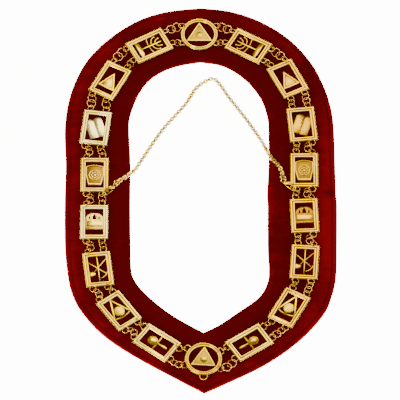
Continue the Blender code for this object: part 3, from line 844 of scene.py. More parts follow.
class Outlet:
    """A node's output that arithmetic works on."""

    def __init__(self, desk: "Desk", socket: bpy.types.NodeSocket) -> None:
        """Keeps the socket and the desk that makes more nodes."""
        self.desk = desk
        self.socket = socket

    def math(self, operation: str, *others: "Outlet | float") -> "Outlet":
        """Result of a Math node with this value first.

        Args:
            operation: The node's operation.
            others: What follows this value.

        Returns:
            The result.
        """
        inputs = {0: self}
        inputs.update({index + 1: other for index, other in enumerate(others)})
        return self.desk.node("ShaderNodeMath", {"operation": operation}, inputs)

    def __add__(self, other: "Outlet | float") -> "Outlet":
        """Sum."""
        return self.math("ADD", other)

    def __radd__(self, other: float) -> "Outlet":
        """Sum with a number first."""
        return self.math("ADD", other)

    def __sub__(self, other: "Outlet | float") -> "Outlet":
        """Difference."""
        return self.math("SUBTRACT", other)

    def __rsub__(self, other: float) -> "Outlet":
        """Difference from a number."""
        return self.desk.node("ShaderNodeMath", {"operation": "SUBTRACT"}, {0: other, 1: self})

    def __mul__(self, other: "Outlet | float") -> "Outlet":
        """Product."""
        return self.math("MULTIPLY", other)

    def __rmul__(self, other: float) -> "Outlet":
        """Product with a number first."""
        return self.math("MULTIPLY", other)

    def step(self, low: float, high: float) -> "Outlet":
        """Smooth step from 0 at the low value to 1 at the high one.

        Args:
            low: Where the step starts.
            high: Where it ends.

        Returns:
            The mask.
        """
        settings = {"interpolation_type": "SMOOTHSTEP"}
        inputs = {"Value": self, "From Min": low, "From Max": high}
        return self.desk.node("ShaderNodeMapRange", settings, inputs)

    def bell(self, centre: float, reach: float) -> "Outlet":
        """A band that is 1 at a value and fades out on both sides of it.

        Args:
            centre: The middle of the band.
            reach: How far it fades.

        Returns:
            The mask.
        """
        return 1.0 - (self - centre).math("ABSOLUTE").step(0.0, reach)


class Desk:
    """Builds one procedural material round a Principled shader."""

    def __init__(self, name: str) -> None:
        """Starts a material of this name."""
        self.material = bpy.data.materials.new(name)
        self.material.use_nodes = True
        self.tree = self.material.node_tree
        self.shader = self.tree.nodes["Principled BSDF"]

    def node(
        self,
        kind: str,
        settings: Mapping[str, object],
        inputs: Mapping[int | str, object],
        out: int | str = 0,
    ) -> Outlet:
        """Adds a node.

        Args:
            kind: The node's type.
            settings: Its properties.
            inputs: Values or outlets for its sockets.
            out: The output that is wanted.

        Returns:
            That output.
        """
        made = self.tree.nodes.new(kind)
        for name, value in settings.items():
            setattr(made, name, value)
        for name, value in inputs.items():
            self.feed(made.inputs[name], value)
        return Outlet(self, made.outputs[out])

    def feed(self, socket: bpy.types.NodeSocket, value: object) -> None:
        """Links an outlet to a socket, or sets its value."""
        if isinstance(value, Outlet):
            self.tree.links.new(value.socket, socket)
        else:
            socket.default_value = value

    def place(self) -> Outlet:
        """Object coordinates."""
        return self.node("ShaderNodeTexCoord", {}, {}, "Object")

    def across(self) -> Outlet:
        """Share of the way from the cloth's inner edge to its outer one."""
        return self.axis(self.node("ShaderNodeTexCoord", {}, {}, "UV"), 0)

    def axis(self, vector: Outlet, index: int) -> Outlet:
        """One coordinate of a vector."""
        return self.node("ShaderNodeSeparateXYZ", {}, {0: vector}, index)

    def plan(self) -> tuple[Outlet, Outlet]:
        """Where a point lies to the right and upwards on the plan."""
        place = self.place()
        return self.axis(place, 0), self.axis(place, 1)

    def height(self) -> Outlet:
        """Height above the floor."""
        return self.axis(self.place(), 2)

    def noise(
        self, scale: float, detail: float, vector: Outlet | None = None, roughness: float = 0.5
    ) -> Outlet:
        """Grey noise.

        Args:
            scale: Its scale, in periods a metre.
            detail: Its octaves.
            vector: Coordinates, or the object's own.
            roughness: Weight of the fine octaves.

        Returns:
            A value near a half that runs from 0 to 1.
        """
        inputs = {"Vector": vector or self.place(), "Scale": scale}
        inputs |= {"Detail": detail, "Roughness": roughness}
        return self.node("ShaderNodeTexNoise", {}, inputs)

    def stretched(self, stretch: tuple[float, float, float]) -> Outlet:
        """Object coordinates scaled by axis, to draw a pattern out."""
        return self.node("ShaderNodeMapping", {}, {"Vector": self.place(), "Scale": stretch})

    def blend(self, mask: Outlet | float, first: object, second: object) -> Outlet:
        """A colour between two.

        Args:
            mask: 0 for the first and 1 for the second.
            first: A colour or an outlet.
            second: Another.

        Returns:
            The colour.
        """
        return self.node("ShaderNodeMix", {"data_type": "RGBA"}, {0: mask, 6: first, 7: second}, 2)

    def bump(self, relief: Outlet, depth: float, strength: float = 1.0) -> Outlet:
        """A bump's normal.

        Args:
            relief: The pattern.
            depth: Its depth in metres.
            strength: Its weight.

        Returns:
            The normal.
        """
        inputs = {"Height": relief, "Distance": depth, "Strength": strength}
        return self.node("ShaderNodeBump", {}, inputs)

    def coat(self, **values: object) -> bpy.types.Material:
        """Feeds the shader's sockets, with underscores for spaces in their names.

        Args:
            values: A value or outlet for each socket.

        Returns:
            The material.
        """
        for name, value in values.items():
            self.feed(self.shader.inputs[name.replace("_", " ")], value)
        return self.material


@dataclass(frozen=True)
class GiltFinish:
    """Bright gold plating with painted shade in the hollows and painted highlight on the raised edges, by
    height, mixed with random patches of tone; duller in the hollows than on the raised edges.
    """

    name: str
    bright: Colour
    deep: Colour
    low: float
    high: float
    roughness: float = 0.17
    dulling: float = 0.15
    patch_scale: float = 55.0
    grain_scale: float = 520.0
    grain_depth: float = 0.00006
    painted_light_share: float = 0.75
    patchiness: float = 0.16
    least_roughness: float = 0.08

    def build(self) -> bpy.types.Material:
        """The finish as a material."""
        desk = Desk(self.name)
        # Painted shade in the hollows and painted highlight on the raised parts, by height, mixed with
        # random patches of tone
        raised = desk.height().step(self.low, self.high)
        patches = desk.noise(self.patch_scale, 3.0)
        grain = desk.noise(self.grain_scale, 2.0)
        share = self.painted_light_share
        painted_light_and_patches = (raised * share + patches.step(0.3, 0.75) * (1 - share)).math("MINIMUM", 1.0)
        colour = desk.blend(painted_light_and_patches, self.deep, self.bright)
        rough = self.roughness + (1.0 - raised) * self.dulling + (patches - 0.5) * self.patchiness
        return desk.coat(
            Base_Color=colour,
            Metallic=1.0,
            Roughness=rough.math("MAXIMUM", self.least_roughness),
            Normal=desk.bump(grain, self.grain_depth),
        )


@dataclass(frozen=True)
class VelvetFinish:
    """Deep red velvet with brushed patches and streaks, painted highlight along its edges, and painted
    shade round the plates, along the hem and in the creases.
    """

    name: str = "crimson_velvet"
    shade: Colour = (0.040, 0.0001, 0.0002, 1.0)
    body: Colour = (0.090, 0.0002, 0.0004, 1.0)
    light: Colour = (0.215, 0.0008, 0.0022, 1.0)
    pile_scale: float = 1500.0
    brushed_scale: float = 14.0
    streak_scale: float = 60.0
    outer_zone: Share = (0.60, 0.96)
    inner_zone: Share = (0.02, 0.13)
    level_band: Share = (-0.03, 0.19)
    crease_band: Share = (0.008, 0.009)
    crease_zone: Share = (0.134, 0.146)
    plate_band: Share = (0.47, 0.30)
    hem_band: Share = (0.928, 0.026)
    roughness: float = 0.92

    def build(self) -> bpy.types.Material:
        """The finish as a material."""
        desk = Desk(self.name)
        across = desk.across()
        pile = desk.noise(self.pile_scale, 2.0)
        brushed = desk.noise(self.brushed_scale, 4.0, desk.stretched((1.6, 0.7, 1.0)), 0.62)
        streaks = desk.noise(self.streak_scale, 3.0, desk.stretched((0.5, 2.2, 1.0)), 0.6)
        outer = across.step(*self.outer_zone)
        inner = 1.0 - across.step(*self.inner_zone)
        sideways, upward = desk.plan()
        right = sideways.step(0.0, 0.05)
        level = upward.bell(*self.level_band)
        crease = upward.bell(*self.crease_band) * sideways.step(*self.crease_zone)
        # Painted highlight along the outer and inner edges, less on the inner edge at the left middle;
        # brushed patches and streaks are random tone
        painted_light_and_brushing = outer * 0.50 + inner * (0.30 - level * (1.0 - right) * 0.30)
        painted_light_and_brushing = painted_light_and_brushing + (brushed - 0.5) * 1.80 + (streaks - 0.5) * 0.85
        # More painted highlight round the middle height, most on the right; painted shade in the creases
        painted_light_and_brushing = painted_light_and_brushing + outer * level * (0.16 + right * 0.28) + right * level * 0.26 - 0.16 - crease * 0.7
        colour = desk.blend(painted_light_and_brushing.step(-0.1, 1.0), self.body, self.light)
        # Painted shade round the plates
        plates = across.bell(*self.plate_band) * 0.75
        colour = desk.blend(plates, colour, self.shade)
        # Painted shade along the hem groove
        hem = across.bell(*self.hem_band) * 0.50
        colour = desk.blend(hem, colour, self.shade)
        # Fine pile speckle of random tone, mixed toward the same dark colour
        colour = desk.blend((pile - 0.5).step(0.0, 0.3) * 0.35, colour, self.shade)
        return desk.coat(
            Base_Color=colour,
            Roughness=self.roughness,
            Specular_IOR_Level=0.02,
            Sheen_Weight=0.12,
            Sheen_Roughness=0.35,
            Sheen_Tint=(1.0, 0.02, 0.05, 1.0),
            Normal=desk.bump(pile + brushed * 0.8, 0.00035, 0.8),
        )


class Palette:
    """The gold finishes, paler or more orange from plate to plate as in the picture: the paler copies on
    the left-hand tablets and chest are painted highlight, the darker orange copies on the right-hand plates
    painted shade.
    """

    RAILS = (0.0042, 0.0051)
    FACES = (0.0037, 0.0044)

    def __init__(self) -> None:
        """Mixes every finish once and shares them out."""
        cream = self.gilt("cream_gilt", (1.0, 0.63, 0.0), (0.46, 0.15, 0.0), self.RAILS)
        # the right-hand frames' gilding, the cream one darkened as painted shade
        shaded_amber = self.gilt("shaded_amber_gilt", (0.90, 0.49, 0.0), (0.30, 0.10, 0.0), self.RAILS)
        # a paler gilding for the left-hand tablets' and chest's frames, painted highlight
        highlit_pearl = self.gilt("highlit_pearl_gilt", (1.0, 0.80, 0.20), (0.62, 0.28, 0.02), self.RAILS)
        butter = self.gilt("butter_gilt", (1.0, 0.71, 0.06), (0.55, 0.20, 0.0), self.RAILS)
        yellow = self.gilt("yellow_gilt", (0.95, 0.62, 0.0), (0.42, 0.17, 0.0), self.FACES)
        golden = self.gilt("golden_gilt", (0.66, 0.46, 0.0), (0.38, 0.19, 0.0), self.FACES)
        # the right-hand figures' gilding, the yellow one darkened as painted shade
        orange = self.gilt("shaded_orange_gilt", (0.70, 0.38, 0.0), (0.26, 0.09, 0.0), self.FACES)
        olive = self.gilt("olive_gilt", (0.44, 0.27, 0.0), (0.28, 0.14, 0.0), self.FACES)
        chased = self.gilt("chased_gilt", (0.85, 0.52, 0.10), (0.55, 0.26, 0.01), self.FACES)
        # a near-white gilding for the left-hand tablets and chest, painted highlight
        pale = self.gilt("highlit_pale_figure_gilt", (1.0, 0.86, 0.30), (0.90, 0.62, 0.08), (0.0037, 0.0042))
        self.rims = cream
        self.triangles = golden
        self.eyes = self.gilt("eye_gilt", (0.95, 0.56, 0.06), (0.45, 0.16, 0.0), (0.0030, 0.0052))
        self.rings = self.gilt("ring_gilt", (0.95, 0.54, 0.12), (0.48, 0.16, 0.01), (0.0028, 0.0050))
        self.chain = self.gilt("chain_gilt", (1.0, 0.66, 0.12), (0.50, 0.34, 0.0), (0.0026, 0.0042))
        self.clasps = self.gilt("clasp_gilt", (1.0, 0.68, 0.0), (0.70, 0.36, 0.0), (0.0034, 0.0060))
        left, right = Side.LEFT, Side.RIGHT
        self.frames = {(left, figure): cream for figure in Figure}
        # right-hand frames darker: painted shade; left-hand tablets' and chest's frames paler: painted
        # highlight
        self.frames |= {(right, figure): shaded_amber for figure in Figure}
        self.frames |= {(left, figure): highlit_pearl for figure in (Figure.TABLETS, Figure.CHEST)}
        self.frames |= {(side, Figure.MALLET): butter for side in Side}
        self.frames[left, Figure.COMPASSES] = butter
        # each figure's ground and its raised work
        self.figures = {(left, figure): (yellow, yellow) for figure in Figure}
        # right-hand figures darker orange: painted shade; left-hand tablets and chest paler: painted
        # highlight
        self.figures |= {(right, figure): (orange, orange) for figure in Figure}
        self.figures |= {(left, figure): (golden, yellow) for figure in (Figure.TRIANGLE, Figure.MALLET)}
        self.figures[left, Figure.TABLETS] = (pale, pale)
        self.figures[left, Figure.CHEST] = (pale, yellow)
        self.figures[left, Figure.KEYSTONE] = (olive, chased)
        self.figures[right, Figure.KEYSTONE] = (olive, orange)
        self.figures[right, Figure.COMPASSES] = (yellow, yellow)

    @staticmethod
    def gilt(name: str, bright: Tint, deep: Tint, span: Share) -> bpy.types.Material:
        """Mixes one gilding.

        Args:
            name: Its name.
            bright: Colour of its raised parts, lightened as painted highlight.
            deep: Colour of its hollows, darkened as painted shade.
            span: Heights at which the hollows end and the raised parts begin.

        Returns:
            The material.
        """
        return GiltFinish(name, (*bright, 1.0), (*deep, 1.0), *span).build()


class VelvetCollar:
    """The flat velvet band with its hemmed edges and pressed creases."""

    NAME = "velvet_cloth"
    HEM_DISTANCE = 0.0042
    HEM_DEPTH = 0.00045
    HEM_REACH = 0.0008
    EDGE_ROUND = 0.0011
    COLUMNS = 40
    SWELL = 0.00022
    LEAST_TOP = 0.0006
    REPEAT = 0.0726
    EVEN_SHARE = 0.38
    EDGE_FOOT = 0.35
    PLATES_MIDDLE = 0.47
    PLATES_HALF = 0.26
    FREE_FADE = 0.25
    CREASE_FADE = 0.12
    CREASE_SLANT = 0.012

    def __init__(self, layout: Layout) -> None:
        """Keeps the layout that the cloth is cut by."""
        self.layout = layout

    def shares(self) -> list[float]:
        """Where the columns of the cloth stand, closer together at its edges."""
        shares = []
        for index in range(self.COLUMNS + 1):
            angle = math.pi * index / self.COLUMNS
            crowded = (1 - self.EVEN_SHARE) * (1 - math.cos(angle)) / 2
            shares.append(crowded + self.EVEN_SHARE * index / self.COLUMNS)
        return shares

    def top(self, point: Vector, share: float, width: float) -> float:
        """Height of the cloth's face at a point.

        Args:
            point: The point in the part's frame.
            share: Its share of the way from the inner edge to the outer one.
            width: Width of the band there.

        Returns:
            The height.
        """
        from_inner = share * width
        from_outer = (1 - share) * width
        edge = min(from_inner, from_outer)
        full = self.layout.velvet_thickness
        if edge < self.EDGE_ROUND:
            swing = math.sin(math.acos(max(0.0, 1 - edge / self.EDGE_ROUND)))
            full *= self.EDGE_FOOT + (1 - self.EDGE_FOOT) * swing
        for distance in (from_inner, from_outer):
            near = (distance - self.HEM_DISTANCE) / self.HEM_REACH
            full -= self.HEM_DEPTH * math.exp(-near * near)
        free = max(0.0, abs(share - self.PLATES_MIDDLE) - self.PLATES_HALF) / self.FREE_FADE
        wave = math.sin(point.x * 61.0 + point.y * 23.0) * math.sin(point.y * 71.0 - point.x * 17.0 + 1.3)
        full += self.SWELL * min(free, 1.0) * wave
        for crease in CREASES:
            if crease.side.hand * point.x < 0 and crease.from_share < share < crease.to_share:
                past = share - crease.from_share
                inset = min(past / self.CREASE_FADE, 1.0)
                near = (point.y - crease.along - past * self.CREASE_SLANT) / crease.reach
                full -= crease.depth * inset * math.exp(-near * near)
        return max(full, self.LEAST_TOP)

    @staticmethod
    def area(edges: Sequence[tuple[Vector, Vector]]) -> float:
        """Flat area of the band between its two edges.

        Args:
            edges: The inner and outer points round it.

        Returns:
            The area in square metres.
        """
        total = 0.0
        for (inner, outer), (inner_after, outer_after) in zip(edges, edges[1:] + edges[:1]):
            total += (outer - inner).cross(outer_after - inner).length / 2
            total += (outer_after - inner).cross(inner_after - inner).length / 2
        return total

    def section(self, inner: Vector, outer: Vector, shares: Sequence[float]) -> list[Vector]:
        """The closed outline of the band's cross-section, over its face and back underneath.

        Args:
            inner: Its inner edge.
            outer: Its outer edge.
            shares: Where its columns stand.

        Returns:
            The points.
        """
        points = []
        for share in shares:
            point = inner.lerp(outer, share)
            point.z = self.top(point, share, (outer - inner).length)
            points.append(point)
        for share in reversed(shares):
            point = inner.lerp(outer, share)
            point.z = 0.0
            points.append(point)
        return points

    def woven(self, edges: Sequence[tuple[Vector, Vector]]) -> bpy.types.Mesh:
        """The cloth's mesh, with its way across and along as UV.

        Args:
            edges: The inner and outer points round it.

        Returns:
            The mesh.
        """
        shares = self.shares()
        builder = bmesh.new()
        uv_layer = builder.loops.layers.uv.new("UVMap")
        rings = []
        lengths = [0.0]
        for index, (inner, outer) in enumerate(edges):
            rings.append([builder.verts.new(point) for point in self.section(inner, outer, shares)])
            following = edges[(index + 1) % len(edges)][1]
            lengths.append(lengths[-1] + (following - outer).length)
        across = shares + shares[::-1]
        for number, ring in enumerate(rings):
            following = rings[(number + 1) % len(rings)]
            start, end = lengths[number] / self.REPEAT, lengths[number + 1] / self.REPEAT
            for index in range(len(across)):
                after = (index + 1) % len(across)
                face = builder.faces.new((ring[index], following[index], following[after], ring[after]))
                here, there = across[index], across[after]
                corners = ((here, start), (here, end), (there, end), (there, start))
                for loop, corner in zip(face.loops, corners):
                    loop[uv_layer].uv = corner
        bmesh.ops.recalc_face_normals(builder, faces=builder.faces)
        mesh = bpy.data.meshes.new(self.NAME)
        builder.to_mesh(mesh)
        builder.free()
        return mesh

    def build(self, finish: bpy.types.Material) -> bpy.types.Object:
        """The cloth as a closed sheet.

        Args:
            finish: The velvet's material.

        Returns:
            The piece.
        """
        home = self.layout.home()
        edges = [(home @ i, home @ o) for i, o in self.layout.velvet_edges(self.layout.velvet_steps)]
        mesh = self.woven(edges)
        mesh.materials.append(finish)
        cloth = bpy.data.objects.new(self.NAME, mesh)
        bpy.context.scene.collection.objects.link(cloth)
        Bench.smooth(cloth, math.radians(60.0))
        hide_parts("velvet_collar")
        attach(cloth, "collar")
        return cloth


class FigureShop:
    """Outlines of the figures, in shares of half a plate's window."""

    STROKE = 0.0015
    HEIGHT = 0.0016
    RELIEF = 0.0006
    BRANCHES = ((-0.05, 1.06, 0.16), (0.18, 0.84, 0.36), (0.43, 0.50, 0.32))
    SUN_SHARE = 0.665
    TABLET_WIDTH = 0.0100
    TABLET_HEIGHT = 0.0255
    TABLET_LEAN = 24.0
    TABLET_LINES = 7
    ROSETTE_RADIUS = 0.0048

    def __init__(self, layout: Layout) -> None:
        """Works out the window from the plate's sizes."""
        self.half_width = layout.plate_width / 2 - layout.rail_width
        self.half_length = layout.plate_length / 2 - layout.rail_width
        self.makers = {
            Figure.CANDELABRUM: self.candelabrum,
            Figure.TRIANGLE: self.triangle,
            Figure.KEYSTONE: self.keystone,
            Figure.CHEST: self.chest,
            Figure.TOOLS: self.tools,
            Figure.COMPASSES: self.compasses,
            Figure.MALLET: self.mallet,
        }

    def shapes(self, figure: Figure, hand: int) -> list[Relief]:
        """The shapes of a figure; only the tablets lean to one hand."""
        if figure is Figure.TABLETS:
            return self.tablets(hand)
        return self.makers[figure]()

    def spread(self, outline: Sequence[Share]) -> list[Share]:
        """An outline in metres from one in shares of the window."""
        return [(across * self.half_width, along * self.half_length) for across, along in outline]

    def bar(self, line: Sequence[Share], width: float, top: float, rounding: float = 0.00035) -> Relief:
        """A bar along a line in shares of the window.

        Args:
            line: Its middle line.
            width: Its width in metres.
            top: Height of its face.
            rounding: Radius of its edges.

        Returns:
            The bar as a relief in metres.
        """
        return Relief([Curves.stroke(self.spread(line), width)], top, rounding)

    def flat(self, outlines: Sequence[Sequence[Share]], top: float, rounding: float = 0.00028) -> Relief:
        """A flat shape in shares of the window, as a relief in metres."""
        return Relief([self.spread(outline) for outline in outlines], top, rounding)

    def candelabrum(self) -> list[Relief]:
        """A stem on a broad foot with three pairs of curved branches."""
        foot = ((-1.08, -0.86), (1.08, -0.86), (1.06, -0.70), (0.70, -0.56), (-0.70, -0.56), (-1.06, -0.70))
        pieces = [self.flat([foot], self.HEIGHT + 0.0003, 0.0005)]
        pieces.append(self.bar(((0.0, -0.60), (0.0, 0.84)), self.STROKE * 1.2, self.HEIGHT))
        for crossing, half_width, depth in self.BRANCHES:
            line = []
            for index in range(15):
                angle = math.pi * index / 14
                line.append((-half_width * math.cos(angle), crossing + depth * (1 - math.sin(angle))))
            pieces.append(self.bar(line, self.STROKE * 0.95, self.HEIGHT - self.RELIEF / 2))
        for crossing, half_width, depth in self.BRANCHES[1:]:
            for side in (-1, 1):
                centre = (side * half_width * self.half_width, (crossing + depth) * self.half_length)
                cup = Curves.circle(centre, self.STROKE * 0.75, 12)
                pieces.append(Relief([cup], self.HEIGHT))
        return pieces

    def triangle(self) -> list[Relief]:
        """A solid triangle in steps, apex up, across the window."""
        outline = ((-1.06, -0.64), (1.06, -0.64), (0.0, 0.68))
        border = [Curves.shrunk(outline, 0.98), Curves.shrunk(outline, 0.74)]
        return [
            self.flat([outline], self.HEIGHT - self.RELIEF),
            self.flat(border, self.HEIGHT),
            self.flat([Curves.shrunk(outline, 0.62)], self.HEIGHT - self.RELIEF / 3, 0.0004),
            self.flat([Curves.shrunk(outline, 0.30)], self.HEIGHT, 0.0003),
        ]

    def tablets(self, hand: int) -> list[Relief]:
        """Twin round-topped tablets that lean across the window, ruled across."""
        lean = Matrix.Rotation(math.radians(self.TABLET_LEAN) * hand, 2)
        pieces = []
        for level, side in enumerate((-1, 1)):
            middle = side * self.TABLET_WIDTH * 0.48
            left = middle - self.TABLET_WIDTH / 2
            right = middle + self.TABLET_WIDTH / 2
            shoulder = self.TABLET_HEIGHT / 2 - self.TABLET_WIDTH * 0.35
            outline = [(left, -self.TABLET_HEIGHT / 2), (right, -self.TABLET_HEIGHT / 2), (right, shoulder)]
            for index in range(1, 10):
                angle = math.pi * index / 10
                reach = self.TABLET_WIDTH / 2
                outline.append((middle + reach * math.cos(angle), shoulder + 0.7 * reach * math.sin(angle)))
            outline.append((left, shoulder))
            turned = [tuple(lean @ Vector(point)) for point in outline]
            top = self.HEIGHT - 0.3 * self.RELIEF * level
            pieces.append(Relief([turned], top, 0.00045))
            for row in range(self.TABLET_LINES):
                along = -self.TABLET_HEIGHT * 0.40 + row * self.TABLET_HEIGHT * 0.112
                reach = self.TABLET_WIDTH * 0.36
                line = ((middle - reach, along), (middle + reach, along))
                turned_line = [tuple(lean @ Vector(point)) for point in line]
                rule = Curves.stroke(turned_line, 0.0007)
                pieces.append(Relief([rule], top + 0.00028, 0.00012, self.HEIGHT / 2))
        return pieces

    def keystone(self) -> list[Relief]:
        """A keystone with a raised border and a plain rosette."""
        outline = [(-0.74, -0.81), (0.74, -0.81), (1.05, -0.02), (1.05, 0.66)]
        for across in (0.80, 0.55, 0.28, 0.0, -0.28, -0.55, -0.80):
            outline.append((across, 0.66 + 0.15 * math.cos(across * math.pi / 2.1)))
        outline += [(-1.05, 0.66), (-1.05, -0.02)]
        pieces = [self.flat([outline], self.HEIGHT - self.RELIEF)]
        border = [Curves.shrunk(outline, 0.97), Curves.shrunk(outline, 0.86)]
        pieces.append(self.flat(border, self.HEIGHT, 0.0002))
        ring = Curves.circle((0.0, 0.0), self.ROSETTE_RADIUS * 1.40, 32)
        hole = Curves.circle((0.0, 0.0), self.ROSETTE_RADIUS * 1.18, 32)
        pieces.append(Relief([ring, hole], self.HEIGHT + 0.0001, 0.00018))
        for index in range(8):
            angle = 2 * math.pi * index / 8
            reach = self.ROSETTE_RADIUS * 0.76
            centre = (reach * math.cos(angle), reach * math.sin(angle))
            pieces.append(Relief([Curves.circle(centre, self.STROKE * 0.86, 12)], self.HEIGHT, 0.0003))
        pieces.append(Relief([Curves.circle((0.0, 0.0), self.STROKE * 1.1, 16)], self.HEIGHT, 0.0003))
        return pieces

    def chest(self) -> list[Relief]:
        """A chest under two wings that meet over a small opening, on a cross rail."""
        wings = [(-1.05, -0.54), (1.05, -0.54), (1.05, 0.24), (0.99, 0.40), (0.84, 0.54), (0.62, 0.65)]
        wings += [(0.36, 0.72), (0.10, 0.73)]
        wings += [(-across, along) for across, along in reversed(wings[2:])]
        opening = ((-0.22, 0.24), (0.22, 0.24), (0.16, 0.44), (0.06, 0.62), (-0.06, 0.62), (-0.16, 0.44))
        slot = ((0.44, 0.24), (0.58, 0.24), (0.60, 0.42), (0.49, 0.50))
        mirrored = tuple((-across, along) for across, along in reversed(slot))
        pieces = [self.flat([wings, opening, slot, mirrored], self.HEIGHT - self.RELIEF)]
        panel = ((-0.88, -0.32), (0.88, -0.32), (0.88, 0.12), (-0.88, 0.12))
        pieces.append(self.flat([panel], self.HEIGHT, 0.0003))
        rail = ((-1.05, -0.46), (1.05, -0.46))
        pieces.append(self.bar(rail, self.STROKE * 0.9, self.HEIGHT - self.RELIEF / 3))
        for side in (-1, 1):
            for number in (0, 2, 3):
                start = (side * (0.34 + 0.16 * number), 0.18)
                end = (side * (0.38 + 0.17 * number), 0.60 - 0.07 * number)
                top = self.HEIGHT - self.RELIEF * 0.45
                pieces.append(self.bar((start, end), self.STROKE * 0.55, top, 0.0002))
        return pieces

    def tools(self) -> list[Relief]:
        """A plumb bar with a crossed shovel and pick."""
        plumb = ((0.0, -1.06), (0.0, 1.06))
        handle = ((-1.06, 0.60), (0.86, -0.38))
        pick = ((1.00, -0.22), (0.90, -0.38), (0.72, -0.52), (0.46, -0.64), (0.14, -0.72))
        shaft = ((1.06, 0.82), (-0.62, -0.26))
        blade = [(-1.06, -0.16), (-0.66, -0.18), (-0.34, -0.28), (-0.40, -0.42)]
        blade += [(-0.70, -0.52), (-1.06, -0.54)]
        return [
            self.bar(plumb, self.STROKE * 0.9, self.HEIGHT),
            self.bar(handle, self.STROKE * 0.85, self.HEIGHT - self.RELIEF / 3),
            self.bar(pick, self.STROKE * 0.8, self.HEIGHT),
            self.bar(shaft, self.STROKE * 0.85, self.HEIGHT - self.RELIEF / 2),
            self.flat([blade], self.HEIGHT, 0.0003),
        ]

    def compasses(self) -> list[Relief]:
        """Open compasses over a scalloped sun disc, with an arc between their feet."""
        pieces = []
        for level, side in enumerate((-1, 1)):
            legs = ((side * -0.04, 1.06), (side * 1.06, -0.42))
            pieces.append(self.bar(legs, self.STROKE * 1.35, self.HEIGHT - self.RELIEF / 3 * level))
        centre = (0.0, -0.03 * self.half_length)
        sun = []
        for index in range(96):
            angle = 2 * math.pi * index / 96
            reach = self.SUN_SHARE * self.half_width * (0.94 + 0.06 * math.cos(angle * 16))
            sun.append((centre[0] + reach * math.cos(angle), centre[1] + reach * math.sin(angle)))
        pieces.append(Relief([sun], self.HEIGHT - self.RELIEF / 3, 0.0002))
        ring = Curves.circle(centre, self.SUN_SHARE * self.half_width * 0.70, 40)
        hole = Curves.circle(centre, self.SUN_SHARE * self.half_width * 0.60, 40)
        pieces.append(Relief([ring, hole], self.HEIGHT, 0.00012))
        arc = []
        for index in range(17):
            across = -1.08 + 2.16 * index / 16
            arc.append((across, -0.53 + 0.13 * across * across))
        pieces.append(self.bar(arc, self.STROKE * 1.2, self.HEIGHT - self.RELIEF * 0.7))
        return pieces

    def mallet(self) -> list[Relief]:
        """A bell-headed mallet across a rail."""
        half = [(0.16, -0.12), (0.36, 0.02), (0.50, 0.16), (0.565, 0.30), (0.55, 0.44)]
        half += [(0.45, 0.57), (0.30, 0.65), (0.10, 0.69)]
        head = half + [(-across, along) for across, along in reversed(half)]
        rail = ((-1.06, -0.02), (1.06, -0.02))
        handle = ((0.0, -0.05), (0.0, -0.80))
        grip = [(-0.10, -0.30), (0.10, -0.30), (0.17, -0.50), (0.15, -0.74), (0.0, -0.84)]
        grip += [(-0.15, -0.74), (-0.17, -0.50)]
        return [
            self.flat([head], self.HEIGHT - 0.0002, 0.0005),
            self.flat([Curves.shrunk(head, 0.72)], self.HEIGHT + 0.0003, 0.0006),
            self.bar(rail, self.STROKE * 1.3, self.HEIGHT - self.RELIEF * 0.8),
            self.bar(handle, self.STROKE * 1.1, self.HEIGHT - self.RELIEF / 2),
            self.flat([grip], self.HEIGHT - self.RELIEF / 4, 0.0005),
        ]


